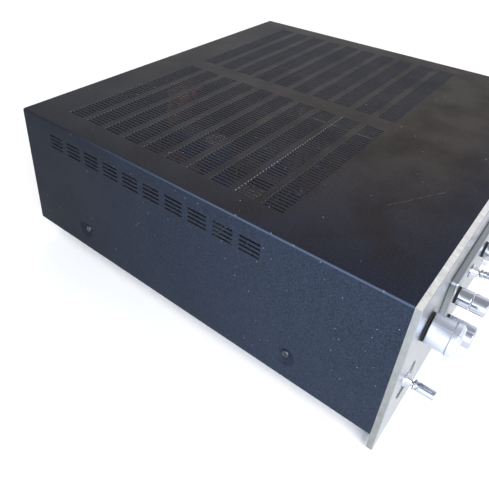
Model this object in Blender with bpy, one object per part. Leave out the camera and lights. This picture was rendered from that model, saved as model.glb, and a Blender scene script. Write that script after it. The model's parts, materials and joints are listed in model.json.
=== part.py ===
# Stereo receiver: steel case, aluminium front panel, controls, dial drive and main inner pieces.
# Units are metres.  +Z is up, the front panel faces -Y, the origin is on the floor under the middle.
import math

import bmesh
import bpy
from mathutils import Matrix, Vector

# ---- driving dimensions -------------------------------------------------------------------
HALF_W = 0.210            # half the cover's and the front panel's width
DEPTH = 0.385             # cover, front edge to rear edge
HEIGHT = 0.128            # cover, lower edge to top
SHEET = 0.0012            # steel sheet
BEND = 0.002              # outer radius of the cover's folds
GAP = 0.0003              # clear gap between pieces that touch in the real object
FOOT_H = 0.019            # floor to the cover's lower edge
FRONT_TIP = -0.0317       # foremost point of the controls
REAR_TIP = 0.3972         # rearmost point of the aerial bracket

FACE = -0.0050            # front of the front panel, its back is at -GAP
FACE_LOW = -0.0155        # lower edge of the front panel
BEZEL = (-0.141, 0.196, 0.040, 0.102)       # raised control panel: x, x, z, z
BEZEL_FRONT = -0.0101
WINDOW = (-0.034, 0.122, 0.0485, 0.0955)    # dial window opening: x, x, z, z
ROW_HI = 0.085            # height of the upper row of controls on the raised panel
ROW_LO = 0.0543           # height of its lower row
STACK_X = (-0.1304, -0.0644)
STACK_R = 0.0068
TOGGLE_X = -0.0974
SELECT = (-0.1743, 0.0859)                  # big pointer knob, x and z
POWER = (-0.1743, 0.0293)                   # power toggle, x and z
POWER_DISH_R = 0.0158
TUNING = (0.160, 0.071)
DRUM = (0.060, 0.066)
DRUM_R = 0.035
VOLUME = (0.158, 0.0135)
FUNCTION = (0.092, 0.0135)
BUTTON_X = (0.024, 0.042)
LOW_ROW = 0.0135
JACK = (-0.012, 0.0135)

SLOT_W = 0.0021
SLOT_L = 0.0186
ROWS = 10
ROW_PITCH = 0.02465
ROW_FIRST = 0.0379        # rear edge of the first row, from the cover's rear edge
BANK = (0.0123, 0.1841)   # inner and outer edge of a bank of top slots
TOP_SLOTS = 4             # drawn per row and bank; the real cover has many more
SIDE_SLOT_Z = (0.1134, 0.1095, 0.1055, 0.1015)
SIDE_SLOT_H = 0.0020
DIMPLES = ((0.3066, 0.022), (0.0755, 0.023))  # side screws: y, z

SHIFT = Vector((0.0, -(FRONT_TIP + REAR_TIP) / 2, FOOT_H))

PAINT = ("satin_black_paint", (0.035, 0.037, 0.042), 0.2, 0.45)
SILVER = ("brushed_silver_panel", (0.62, 0.63, 0.62), 0.9, 0.32)
KNOB = ("turned_aluminium", (0.70, 0.71, 0.72), 0.95, 0.25)
CHROME = ("chrome_plate", (0.80, 0.80, 0.82), 1.0, 0.12)
ZINC = ("zinc_plated_steel", (0.48, 0.48, 0.45), 0.9, 0.4)
BLACK = ("black_plastic", (0.02, 0.02, 0.022), 0.0, 0.5)
BOARD = ("board_laminate", (0.22, 0.12, 0.04), 0.0, 0.6)
CORE = ("varnished_core", (0.16, 0.07, 0.04), 0.4, 0.6)
FINS = ("black_anodised_fins", (0.03, 0.03, 0.03), 0.7, 0.5)
CAN = ("blue_sleeve", (0.03, 0.06, 0.16), 0.0, 0.4)
RUBBER = ("black_rubber", (0.02, 0.02, 0.02), 0.0, 0.85)
CLEAR = ("clear_acrylic", (0.8, 0.85, 0.85), 0.0, 0.08)
SCALE = ("dial_print", (0.05, 0.09, 0.10), 0.0, 0.5)
RED = ("red_plastic", (0.5, 0.03, 0.02), 0.0, 0.4)
FERRITE = ("ferrite_rod", (0.05, 0.05, 0.055), 0.0, 0.5)


for old in list(bpy.data.objects):
    bpy.data.objects.remove(old, do_unlink=True)


# ---- mesh helpers: all of them work in the panel frame, and finish() moves the result ------
def box(bm, x0, x1, y0, y1, z0, z1):
    """Add one closed box."""
    v = [bm.verts.new(c) for c in ((x0, y0, z0), (x1, y0, z0), (x1, y1, z0), (x0, y1, z0),
                                   (x0, y0, z1), (x1, y0, z1), (x1, y1, z1), (x0, y1, z1))]
    for f in ((3, 2, 1, 0), (4, 5, 6, 7), (0, 1, 5, 4), (1, 2, 6, 5), (2, 3, 7, 6), (3, 0, 4, 7)):
        bm.faces.new([v[i] for i in f])
    return bm


def along(axis, a, b, c):
    """Point whose coordinate along axis is c and whose other two, in order, are a and b."""
    return {"X": (c, a, b), "Y": (a, c, b), "Z": (a, b, c)}[axis]


def prism(bm, outline, axis, c0, c1):
    """Extrude a closed outline of (a, b) points along an axis."""
    low = [bm.verts.new(along(axis, a, b, c0)) for a, b in outline]
    high = [bm.verts.new(along(axis, a, b, c1)) for a, b in outline]
    n = len(outline)
    bm.faces.new(low)
    bm.faces.new(list(reversed(high)))
    for i in range(n):
        bm.faces.new((low[i], high[i], high[(i + 1) % n], low[(i + 1) % n]))
    return bm


def lathe(bm, centre, profile, steps=20, axis="Y"):
    """Turn a profile of (radius, position) points about an axis through centre.
    A profile that starts and ends on the axis gives a solid, any other gives a ring."""
    a0, b0 = centre
    rings = []
    for r, c in profile:
        if r < 1e-7:
            rings.append([bm.verts.new(along(axis, a0, b0, c))])
        else:
            rings.append([bm.verts.new(along(axis, a0 + r * math.cos(2 * math.pi * k / steps),
                                             b0 + r * math.sin(2 * math.pi * k / steps), c))
                          for k in range(steps)])
    closed = profile[0][0] > 1e-7
    pairs = list(zip(rings, rings[1:])) + ([(rings[-1], rings[0])] if closed else [])
    for p, q in pairs:
        for k in range(steps):
            j = (k + 1) % steps
            if len(p) == 1 and len(q) == 1:
                continue
            if len(p) == 1:
                bm.faces.new((p[0], q[j], q[k]))
            elif len(q) == 1:
                bm.faces.new((p[k], p[j], q[0]))
            else:
                bm.faces.new((p[k], p[j], q[j], q[k]))
    return bm


def new():
    return bmesh.new()


def outward(bm):
    bmesh.ops.recalc_face_normals(bm, faces=bm.faces)
    return bm


def material(spec):
    """One Principled material for each node, so that each node can be told apart."""
    name, colour, metallic, rough = spec
    mat = bpy.data.materials.new(name)
    mat.use_nodes = True
    shader = mat.node_tree.nodes["Principled BSDF"]
    shader.inputs["Base Color"].default_value = (*colour, 1.0)
    shader.inputs["Metallic"].default_value = metallic
    shader.inputs["Roughness"].default_value = rough
    return mat


def temp(bm):
    mesh = bpy.data.meshes.new("tool")
    outward(bm).to_mesh(mesh)
    bm.free()
    obj = bpy.data.objects.new("tool", mesh)
    bpy.context.collection.objects.link(obj)
    return obj


def finish(name, bm, spec, joins=(), cuts=(), origin=(0.0, 0.0, 0.0), parent=None):
    """Make the named object: join and cut the base shape, then put its origin on its axis."""
    obj = temp(bm)
    tools = []
    for kind, shapes in (("UNION", joins), ("DIFFERENCE", cuts)):
        for shape in shapes:
            tool = temp(shape)
            mod = obj.modifiers.new(kind, "BOOLEAN")
            mod.operation = kind
            mod.solver = "EXACT"
            mod.object = tool
            tools.append(tool)
    if tools:
        graph = bpy.context.evaluated_depsgraph_get()
        graph.update()
        mesh = bpy.data.meshes.new_from_object(obj.evaluated_get(graph))
        obj.modifiers.clear()
        obj.data = mesh
        for tool in tools:
            bpy.data.objects.remove(tool, do_unlink=True)
    at = Vector(origin) + SHIFT
    if tuple(origin) == (0.0, 0.0, 0.0):
        at = Vector((0.0, 0.0, 0.0))
    obj.data.transform(Matrix.Translation(SHIFT - at))
    obj.location = at
    obj.name = name
    obj.data.name = name
    obj.data.materials.clear()
    obj.data.materials.append(material(spec))
    if parent is not None:
        obj.parent = parent
        obj.matrix_parent_inverse = Matrix.Translation(-parent.location)
    return obj


def pin_profile(front, chamfer, radius, base, shaft_r, shaft_end):
    """Plain knob: chamfered front, straight skirt, shaft behind."""
    return [(0, front), (radius - chamfer, front), (radius, front + chamfer), (radius, base),
            (shaft_r, base), (shaft_r, shaft_end), (0, shaft_end)]


def holder_profile(radius, front, back, bore_r, bore_end):
    """Control body behind the panels with a blind bore that takes the shaft."""
    return [(bore_r, front), (radius, front), (radius, back), (0, back), (0, bore_end), (bore_r, bore_end)]


def holes(points, y0, y1, steps=12):
    """One cutter made of separate pins: points are (x, z, radius)."""
    bm = new()
    for x, z, r in points:
        lathe(bm, (x, z), [(0, y0), (r, y0), (r, y1), (0, y1)], steps)
    return bm


SHAFT_R = 0.0030
shafts = [(x, ROW_HI) for x in STACK_X] + [(STACK_X[0], ROW_LO)]
shaft_holes = [(x, z, SHAFT_R + 0.0004) for x, z in shafts]
front_holes = shaft_holes + [(*p, SHAFT_R + 0.0004) for p in (SELECT, TUNING, VOLUME, FUNCTION)]

# ---- folded wrap-round cover, with its slots and screw dimples ------------------------------
arc = [math.radians(a) for a in (0, 30, 60, 90)]
outer = [(-HALF_W, 0.0)]
outer += [(-HALF_W + BEND * (1 - math.cos(a)), HEIGHT - BEND + BEND * math.sin(a)) for a in arc]
outer += [(-x, z) for x, z in reversed(outer)]
inner_r = BEND - SHEET
inner = [(-HALF_W + SHEET, 0.0)]
inner += [(-HALF_W + SHEET + inner_r * (1 - math.cos(a)), HEIGHT - BEND + inner_r * math.sin(a)) for a in arc]
inner += [(-x, z) for x, z in reversed(inner)]
cover = prism(new(), outer + list(reversed(inner)), "Y", 0.0, DEPTH)

cups, cones, bores = new(), new(), new()
for side in (-1, 1):
    face = side * HALF_W
    for y, z in DIMPLES:
        lathe(cups, (y, z), [(0, face - side * 0.0005), (0.0100, face - side * 0.0005),
                             (0.0055, face - side * 0.0042), (0, face - side * 0.0042)], 16, "X")
        lathe(cones, (y, z), [(0, face + side * 0.001), (0.0098, face + side * 0.001),
                              (0.0088, face), (0.0046, face - side * 0.0030),
                              (0, face - side * 0.0030)], 16, "X")
        lathe(bores, (y, z), [(0, face), (0.0021, face), (0.0021, face - side * 0.006),
                              (0, face - side * 0.006)], 10, "X")

vents = new()
bank_step = (BANK[1] - BANK[0] - SLOT_W) / (TOP_SLOTS - 1)
for row in range(ROWS):
    y1 = DEPTH - ROW_FIRST - row * ROW_PITCH
    for side in (-1, 1):
        for k in range(TOP_SLOTS):
            x = side * (BANK[0] + SLOT_W / 2 + k * bank_step)
            box(vents, x - SLOT_W / 2, x + SLOT_W / 2, y1 - SLOT_L, y1, HEIGHT - 0.002, HEIGHT + 0.001)
        for z in SIDE_SLOT_Z:
            x = side * HALF_W
            box(vents, x - 0.002, x + 0.002, y1 - SLOT_L, y1, z - SIDE_SLOT_H / 2, z + SIDE_SLOT_H / 2)
finish("top_cover", cover, PAINT, joins=[cups], cuts=[cones, bores, vents])

for side, side_name in ((-1, "left"), (1, "right")):
    for (y, z), place in zip(DIMPLES, ("rear", "front")):
        face = side * HALF_W
        floor = face - side * 0.0027
        screw = lathe(new(), (y, z), [(0, floor + side * 0.0018), (0.0022, floor + side * 0.0017),
                                      (0.0034, floor + side * 0.0008), (0.0034, floor),
                                      (0.0018, floor), (0.0018, floor - side * 0.0014),
                                      (0, floor - side * 0.0014)], 12, "X")
        cross = new()
        box(cross, min(floor, floor + side * 0.004) + (0.0009 if side > 0 else 0),
            max(floor, floor + side * 0.004) - (0.0009 if side < 0 else 0),
            y - 0.0019, y + 0.0019, z - 0.00045, z + 0.00045)
        finish("cover_screw_%s_%s" % (side_name, place), screw, ZINC, cuts=[cross])

# ---- chassis pan with folded sides and slots in its floor -----------------------------------
pan_x = HALF_W - SHEET - 0.0006
pan = prism(new(), [(-pan_x, 0.0006), (pan_x, 0.0006), (pan_x, 0.0112), (pan_x - SHEET, 0.0112),
                    (pan_x - SHEET, 0.0006 + SHEET), (-pan_x + SHEET, 0.0006 + SHEET),
                    (-pan_x + SHEET, 0.0112), (-pan_x, 0.0112)], "Y", 0.0020, DEPTH - 0.0033)
floor_slots = new()
for k in range(6):
    for y in (0.20, 0.26):
        x = 0.040 + k * 0.024
        box(floor_slots, x, x + 0.003, y, y + 0.045, 0.0, 0.003)
finish("chassis_pan", pan, ZINC, cuts=[floor_slots])

FEET = ((-0.165, 0.045, "front_left"), (0.165, 0.045, "front_right"),
        (-0.165, 0.340, "rear_left"), (0.165, 0.340, "rear_right"))
for x, y, place in FEET:
    foot = lathe(new(), (x, y), [(0, -FOOT_H), (0.0125, -FOOT_H), (0.0140, -FOOT_H + 0.0015),
                                 (0.0165, 0.0003), (0, 0.0003)], 16, "Z")
    dent = lathe(new(), (x, y), [(0, -FOOT_H - 0.001), (0.0050, -FOOT_H - 0.001),
                                 (0.0050, -FOOT_H + 0.006), (0, -FOOT_H + 0.006)], 8, "Z")
    finish("foot_" + place, foot, RUBBER, cuts=[dent])

# ---- front panel, raised control panel and the steel panel behind them ----------------------
plate = new()
x1, z0, z1, c = HALF_W, FACE_LOW, HEIGHT, 0.0005
back = [plate.verts.new((x, -GAP, z)) for x, z in ((-x1, z0), (x1, z0), (x1, z1), (-x1, z1))]
mid = [plate.verts.new((x, FACE + c, z)) for x, z in ((-x1, z0), (x1, z0), (x1, z1), (-x1, z1))]
fore = [plate.verts.new((x, FACE, z)) for x, z in ((-x1 + c, z0 + c), (x1 - c, z0 + c),
                                                  (x1 - c, z1 - c), (-x1 + c, z1 - c))]
plate.faces.new(back)
plate.faces.new(fore)
for ring_a, ring_b in ((back, mid), (mid, fore)):
    for i in range(4):
        j = (i + 1) % 4
        plate.faces.new((ring_a[i], ring_a[j], ring_b[j], ring_b[i]))
dish = lathe(new(), POWER, [(0, FACE - 0.001), (POWER_DISH_R, FACE - 0.001), (POWER_DISH_R, FACE),
                            (POWER_DISH_R - 0.0012, FACE + 0.0012), (0, FACE + 0.0012)], 24)
window_cut = new()
box(window_cut, WINDOW[0], WINDOW[1], -0.02, 0.01, WINDOW[2], WINDOW[3])
button_cut = new()
for x in BUTTON_X:
    box(button_cut, x - 0.0050, x + 0.0050, -0.02, 0.01, LOW_ROW - 0.0035, LOW_ROW + 0.0035)
round_cut = front_holes + [(*POWER, 0.0052), (TOGGLE_X, ROW_HI, 0.0052), (*JACK, 0.0050)]
finish("faceplate", plate, SILVER, cuts=[dish, window_cut.copy(), button_cut.copy(),
                                         holes(round_cut, -0.02, 0.01)])

sub = box(new(), -pan_x, pan_x, 0.0004, 0.0016, 0.0020, HEIGHT - SHEET - 0.0006)
finish("front_subpanel", sub, ZINC, cuts=[window_cut.copy(), button_cut.copy(),
                                          holes(round_cut, -0.02, 0.01)])
button_cut.free()
window_cut.free()

bx0, bx1, bz0, bz1 = BEZEL
corner = 0.0025


def rounded(x0, x1, z0, z1, r):
    """Rectangle outline with three-step corners."""
    out = []
    for cx, cz, start in ((x1 - r, z0 + r, -90), (x1 - r, z1 - r, 0), (x0 + r, z1 - r, 90), (x0 + r, z0 + r, 180)):
        for step in (0, 30, 60, 90):
            a = math.radians(start + step)
            out.append((cx + r * math.cos(a), cz + r * math.sin(a)))
    return out


def loft(bm, layers):
    """Closed solid through outlines of equal length, each given with its position along Y."""
    rings = [[bm.verts.new((x, y, z)) for x, z in outline] for outline, y in layers]
    bm.faces.new(rings[0])
    bm.faces.new(rings[-1])
    n = len(rings[0])
    for p, q in zip(rings, rings[1:]):
        for i in range(n):
            j = (i + 1) % n
            bm.faces.new((p[i], p[j], q[j], q[i]))
    return bm


bezel = loft(new(), [
    (rounded(bx0 + 0.0010, bx1 - 0.0010, bz0 + 0.0010, bz1 - 0.0010, corner - 0.0010), FACE - GAP),
    (rounded(bx0 + 0.0010, bx1 - 0.0010, bz0 + 0.0010, bz1 - 0.0010, corner - 0.0010), FACE - 0.0010),
    (rounded(bx0, bx1, bz0, bz1, corner), FACE - 0.0010),
    (rounded(bx0, bx1, bz0, bz1, corner), BEZEL_FRONT + 0.0006),
    (rounded(bx0 + 0.0006, bx1 - 0.0006, bz0 + 0.0006, bz1 - 0.0006, corner - 0.0006), BEZEL_FRONT)])
glass_gap = 0.0003
bezel_window = loft(new(), [
    (rounded(WINDOW[0], WINDOW[1], WINDOW[2], WINDOW[3], 0.001), -0.001),
    (rounded(WINDOW[0], WINDOW[1], WINDOW[2], WINDOW[3], 0.001), BEZEL_FRONT - 0.002)])
finish("control_bezel", bezel, SILVER, cuts=[
    bezel_window, holes(shaft_holes + [(*TUNING, SHAFT_R + 0.0004), (TOGGLE_X, ROW_HI, 0.0052)], -0.02, 0.01)])

glass = box(new(), WINDOW[0] + glass_gap, WINDOW[1] - glass_gap, BEZEL_FRONT + 0.0010, BEZEL_FRONT + 0.0028,
            WINDOW[2] + glass_gap, WINDOW[3] - glass_gap)
finish("dial_window", glass, CLEAR)

# ---- dial drive: scale, pointer, drum, tuning capacitor, flywheel and tuning knob -----------
finish("dial_scale", box(new(), WINDOW[0] - 0.004, WINDOW[1] + 0.004, 0.0060, 0.0072,
                         WINDOW[2] - 0.003, WINDOW[3] + 0.004), SCALE)
pointer_x = (WINDOW[0] + WINDOW[1]) / 2
pointer = box(new(), pointer_x - 0.0005, pointer_x + 0.0005, 0.0032, 0.0040, WINDOW[2] + 0.002, 0.1030)
finish("dial_pointer", pointer, RED, joins=[
    box(new(), pointer_x - 0.0040, pointer_x + 0.0040, 0.0034, 0.0110, 0.1015, 0.1030),
    box(new(), pointer_x - 0.0040, pointer_x + 0.0040, 0.0095, 0.0110, 0.0960, 0.1020)],
    origin=(pointer_x, 0.0036, 0.1020))

drum = lathe(new(), DRUM, [(0, 0.0330), (DRUM_R + 0.0015, 0.0330), (DRUM_R + 0.0015, 0.0345),
                           (DRUM_R, 0.0350), (DRUM_R, 0.0370), (DRUM_R + 0.0015, 0.0375),
                           (DRUM_R + 0.0015, 0.0390), (0, 0.0390)], 24)
drum_axis = (DRUM[0], 0.0360, DRUM[1])
drum_obj = finish("dial_drum", drum, BLACK, origin=drum_axis)

rotor = lathe(new(), DRUM, [(0, 0.0393), (0.0030, 0.0393), (0.0030, 0.0980), (0, 0.0980)], 16)
vanes = []
for k in range(4):
    y = 0.0530 + k * 0.0105
    arc_pts = [(DRUM[0] + 0.0150 * math.cos(math.radians(a)), DRUM[1] + 0.0150 * math.sin(math.radians(a)))
               for a in range(0, 181, 20)]
    vanes.append(prism(new(), arc_pts, "Y", y, y + 0.0016))
finish("tuning_capacitor_rotor", rotor, ZINC, joins=vanes, origin=drum_axis, parent=drum_obj)

cap = box(new(), DRUM[0] - 0.020, DRUM[0] + 0.020, 0.0460, 0.1010, DRUM[1] - 0.0210, DRUM[1] + 0.0175)
hollow = box(new(), DRUM[0] - 0.0180, DRUM[0] + 0.0180, 0.0476, 0.0994, DRUM[1] - 0.0175, DRUM[1] + 0.030)
front_bore = holes([(DRUM[0], DRUM[1], 0.0034)], 0.040, 0.050)
finish("tuning_capacitor_frame", cap, ZINC, cuts=[hollow, front_bore])

tuning_axis = (TUNING[0], -0.020, TUNING[1])
tuning = lathe(new(), TUNING, [(0, -0.0300), (0.0150, -0.0300), (0.0165, -0.0306), (0.0190, -0.0296),
                               (0.0195, -0.0280), (0.0195, -0.0125), (0.0185, -0.0107), (SHAFT_R, -0.0107),
                               (SHAFT_R, 0.0300), (0, 0.0300)], 24)
tuning_obj = finish("tuning_knob", tuning, KNOB, origin=tuning_axis)
wheel = lathe(new(), TUNING, [(SHAFT_R + 0.0001, 0.0100), (0.0240, 0.0100), (0.0240, 0.0190),
                              (0.0190, 0.0190), (0.0190, 0.0140), (0.0080, 0.0140), (0.0080, 0.0230),
                              (SHAFT_R + 0.0001, 0.0230)], 20)
finish("tuning_flywheel", wheel, ZINC, origin=tuning_axis, parent=tuning_obj)

# ---- rotary controls ------------------------------------------------------------------------
BODY = 0.0020             # front of the control bodies, just behind the steel panel
select = lathe(new(), SELECT, [(0, -0.0268), (0.0098, -0.0268), (0.0120, -0.0250), (0.0121, -0.0214),
                               (0.0114, -0.0206), (0.0113, -0.0078), (0.0102, -0.0065),
                               (SHAFT_R, -0.0065), (SHAFT_R, 0.0120), (0, 0.0120)], 24)
angle = math.radians(119)
groove = new()
box(groove, -0.0004, 0.0004, -0.030, -0.0085, 0.0108, 0.0140)
groove.transform(Matrix.Translation((SELECT[0], 0, SELECT[1])) @ Matrix.Rotation(math.radians(90) - angle, 4, "Y"))
finish("selector_knob", select, KNOB, cuts=[groove], origin=(SELECT[0], -0.0165, SELECT[1]))
finish("selector_switch", lathe(new(), SELECT, holder_profile(0.0150, BODY, 0.0300, 0.0031, 0.0130), 20), ZINC)

for x, label in zip(STACK_X, ("bass", "treble")):
    rear = lathe(new(), (x, ROW_HI), [(0.0018, -0.0209), (0.0064, -0.0209), (STACK_R, -0.0205),
                                      (STACK_R, -0.0116), (0.0060, -0.0112), (0.0060, -0.0106),
                                      (SHAFT_R, -0.0106), (SHAFT_R, 0.0100), (0.0018, 0.0100)], 18)
    finish(label + "_knob_rear", rear, CHROME, origin=(x, -0.016, ROW_HI))
    fore_knob = lathe(new(), (x, ROW_HI), pin_profile(-0.0317, 0.0006, STACK_R, -0.0213, 0.0016, 0.0130), 18)
    finish(label + "_knob_front", fore_knob, CHROME, origin=(x, -0.026, ROW_HI))
    finish(label + "_control", lathe(new(), (x, ROW_HI), holder_profile(0.0120, BODY, 0.0280, 0.0031, 0.0140), 20),
           ZINC)

mode = lathe(new(), (STACK_X[0], ROW_LO), [(0, -0.0313), (0.0080, -0.0313), (0.0088, -0.0305), (0.0088, -0.0116),
                                           (0.0080, -0.0112), (0.0080, -0.0106), (SHAFT_R, -0.0106),
                                           (SHAFT_R, 0.0120), (0, 0.0120)], 20)
finish("mode_knob", mode, CHROME, origin=(STACK_X[0], -0.021, ROW_LO))
finish("mode_switch", lathe(new(), (STACK_X[0], ROW_LO), holder_profile(0.0140, BODY, 0.0260, 0.0031, 0.0130), 20),
       ZINC)

for spot, radius, label, body_r, body_back in ((VOLUME, 0.0165, "volume", 0.0100, 0.0320),
                                               (FUNCTION, 0.0105, "function", 0.0100, 0.0280)):
    knob = lathe(new(), spot, [(0, -0.0270), (radius - 0.0020, -0.0270), (radius, -0.0252), (radius, -0.0080),
                               (radius - 0.0012, -0.0065), (SHAFT_R, -0.0065), (SHAFT_R, 0.0120), (0, 0.0120)], 20)
    mark = box(new(), spot[0] - 0.0004, spot[0] + 0.0004, -0.0300, -0.0085, spot[1] + radius - 0.0006,
               spot[1] + radius + 0.002)
    finish(label + "_knob", knob, KNOB, cuts=[mark], origin=(spot[0], -0.016, spot[1]))
    finish(label + "_control", lathe(new(), spot, holder_profile(body_r, BODY, body_back, 0.0031, 0.0130), 20), ZINC)

# ---- toggle switches: cone-nosed bushing with the body behind, and a collared lever ---------
TOGGLES = (("power", POWER, FACE + 0.0012 - GAP, 0.0, 0.0033),
           ("tone", (TOGGLE_X, ROW_HI), BEZEL_FRONT - GAP, 10.0, 0.0024))
for label, (x, z), base, tilt, tip_r in TOGGLES:
    nose = base - 0.0052
    bush = lathe(new(), (x, z), [(0.0025, nose), (0.0031, nose), (0.0034, nose + 0.0006),
                                 (0.0066, base - 0.0010), (0.0072, base), (0.0046, base),
                                 (0.0046, 0.0030), (0.0025, 0.0030)], 16)
    body = box(new(), x - 0.0105, x + 0.0105, BODY, 0.0270, z - 0.0125, z + 0.0125)
    finish(label + "_toggle_body", bush, ZINC, joins=[body])
    root, end = base - 0.0012, (-0.0259 if label == "power" else -0.0262)
    k = tip_r / 0.0033
    lever = lathe(new(), (x, z), [(0, end), (tip_r - 0.0004, end), (tip_r, end + 0.0004), (tip_r, nose - 0.0034),
                                  (0.0037 * k, nose - 0.0032), (0.0037 * k, nose - 0.0016), (0.0029 * k, nose - 0.0011),
                                  (0.0015, nose - 0.0009), (0.0015, root), (0, root)], 16)
    pivot = Vector((x, root, z))
    lever.transform(Matrix.Translation(pivot) @ Matrix.Rotation(math.radians(-tilt), 4, "X")
                    @ Matrix.Translation(-pivot))
    finish(label + "_toggle_lever", lever, CHROME, origin=tuple(pivot))

# ---- push buttons, their switch bank and the headphone jack ---------------------------------
for k, x in enumerate(BUTTON_X):
    cap_bm = loft(new(), [
        (rounded(x - 0.0042, x + 0.0042, LOW_ROW - 0.0027, LOW_ROW + 0.0027, 0.0006), -0.0120),
        (rounded(x - 0.0046, x + 0.0046, LOW_ROW - 0.0031, LOW_ROW + 0.0031, 0.0008), -0.0115),
        (rounded(x - 0.0046, x + 0.0046, LOW_ROW - 0.0031, LOW_ROW + 0.0031, 0.0008), 0.0030)])
    finish("push_button_%d" % (k + 1), cap_bm, KNOB, origin=(x, -0.0045, LOW_ROW))
finish("button_switch_bank", box(new(), BUTTON_X[0] - 0.009, BUTTON_X[-1] + 0.009, 0.0080, 0.0300,
                                 LOW_ROW - 0.0075, LOW_ROW + 0.0075), ZINC)
jack = lathe(new(), JACK, [(0.0032, -0.0075), (0.0056, -0.0075), (0.0060, -0.0071), (0.0060, FACE - GAP),
                           (0.0046, FACE - GAP), (0.0046, BODY), (0.0078, BODY), (0.0078, 0.0300),
                           (0, 0.0300), (0, 0.0260), (0.0032, 0.0260)], 16)
finish("headphone_jack", jack, ZINC)

# ---- rear panel and what is fixed to it -----------------------------------------------------
REAR = DEPTH - 0.0018     # outer face of the rear panel
rear_panel = box(new(), -pan_x, pan_x, REAR - SHEET, REAR, 0.0020, HEIGHT - SHEET - 0.0006)
GLAND = (-0.165, 0.030)
finish("rear_panel", rear_panel, ZINC, cuts=[holes([(*GLAND, 0.0058)], 0.37, 0.40)])

jacks = [(0.020 + 0.019 * i, 0.062 + 0.018 * j) for i in range(4) for j in range(2)]
strip = box(new(), 0.008, 0.090, REAR + GAP, REAR + 0.0025, 0.050, 0.092)
posts = holes([(x, z, 0.0042) for x, z in jacks], REAR + 0.001, REAR + 0.0100, 10)
sockets = holes([(x, z, 0.0016) for x, z in jacks], REAR + 0.002, REAR + 0.0120, 6)
finish("input_jack_strip", strip, BLACK, joins=[posts], cuts=[sockets])

TERM_X = (-0.105, -0.090, -0.067, -0.052)
TERM_Z = 0.068
block = box(new(), -0.116, -0.041, REAR + GAP, REAR + 0.0100, TERM_Z - 0.015, TERM_Z + 0.015)
pockets = new()
for x in TERM_X:
    box(pockets, x - 0.0050, x + 0.0050, REAR + 0.0030, REAR + 0.012, TERM_Z - 0.0095, TERM_Z + 0.0095)
finish("speaker_terminals", block, BLACK, cuts=[pockets])
for k, x in enumerate(TERM_X):
    lever = box(new(), x - 0.0045, x + 0.0045, REAR + 0.0070, REAR + 0.0110, TERM_Z - 0.0080, TERM_Z + 0.0080)
    finish("speaker_lever_%d" % (k + 1), lever, RED if k % 2 else BLACK,
           origin=(x, REAR + 0.0090, TERM_Z + 0.0065))

strip2 = box(new(), 0.110, 0.170, REAR + GAP, REAR + 0.0040, 0.060, 0.084)
heads = holes([(0.118 + 0.0147 * i, 0.072, 0.0040) for i in range(4)], REAR + 0.003, REAR + 0.0065, 12)
finish("antenna_terminals", strip2, BLACK, joins=[heads])

ROD = (0.192, REAR + 0.0093, 0.110)      # hinge post of the rod antenna
bracket = box(new(), ROD[0] - 0.007, ROD[0] + 0.007, REAR + GAP, REAR + 0.0020, ROD[2] - 0.012, ROD[2] + 0.010)
finish("antenna_bracket", bracket, BLACK, joins=[
    box(new(), ROD[0] - 0.005, ROD[0] + 0.005, REAR + 0.0010, REAR + 0.0140, ROD[2] - 0.012, ROD[2] - 0.0080)])
rod = lathe(new(), (ROD[1], ROD[2]), [(0, 0.058), (0.0040, 0.058), (0.0048, 0.0588), (0.0048, 0.183),
                                      (0.0040, 0.184), (0, 0.184)], 16, "X")
knuckle = lathe(new(), (ROD[0], ROD[1]), [(0, ROD[2] - 0.0075), (0.0046, ROD[2] - 0.0075),
                                          (0.0046, ROD[2] + 0.0050), (0, ROD[2] + 0.0050)], 16, "Z")
link = box(new(), 0.180, ROD[0], ROD[1] - 0.0025, ROD[1] + 0.0025, ROD[2] - 0.0030, ROD[2] + 0.0030)
finish("rod_antenna", rod, FERRITE, joins=[link, knuckle], origin=ROD)

gland = lathe(new(), GLAND, [(0.0019, REAR + 0.0070), (0.0048, REAR + 0.0070), (0.0052, REAR + 0.0060),
                             (0.0075, REAR + 0.0020), (0.0075, REAR + GAP), (0.0055, REAR + GAP),
                             (0.0055, REAR - 0.0060), (0.0019, REAR - 0.0060)], 14)
finish("cord_gland", gland, BLACK)

# ---- inner pieces on the chassis ------------------------------------------------------------
DECK = 0.0006 + SHEET + GAP
core = box(new(), -0.162, -0.088, 0.262, 0.322, DECK, 0.066)
winding = loft(new(), [(rounded(-0.148, -0.102, 0.014, 0.056, 0.008), 0.248),
                       (rounded(-0.152, -0.098, 0.010, 0.060, 0.010), 0.256),
                       (rounded(-0.152, -0.098, 0.010, 0.060, 0.010), 0.328),
                       (rounded(-0.148, -0.102, 0.014, 0.056, 0.008), 0.336)])
finish("power_transformer", core, CORE, joins=[winding])
for k, y in enumerate((0.315, 0.272)):
    can = lathe(new(), (-0.052, y), [(0, DECK), (0.0175, DECK), (0.0175, 0.072), (0.0155, 0.0745), (0.0120, 0.0735),
                                     (0, 0.0735)], 20, "Z")
    finish("filter_capacitor_%d" % (k + 1), can, CAN)
comb = [(0.000, DECK), (0.180, DECK), (0.180, 0.0110)]
for k in range(12):
    x = 0.1785 - k * 0.0155
    comb += [(x, 0.0110), (x, 0.0900), (x - 0.0030, 0.0900), (x - 0.0030, 0.0110)]
comb += [(0.000, 0.0110)]
comb = [(x, z) for i, (x, z) in enumerate(comb) if i == 0 or (x, z) != comb[i - 1]]
finish("heat_sink", prism(new(), comb, "Y", 0.300, 0.350), FINS)

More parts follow.
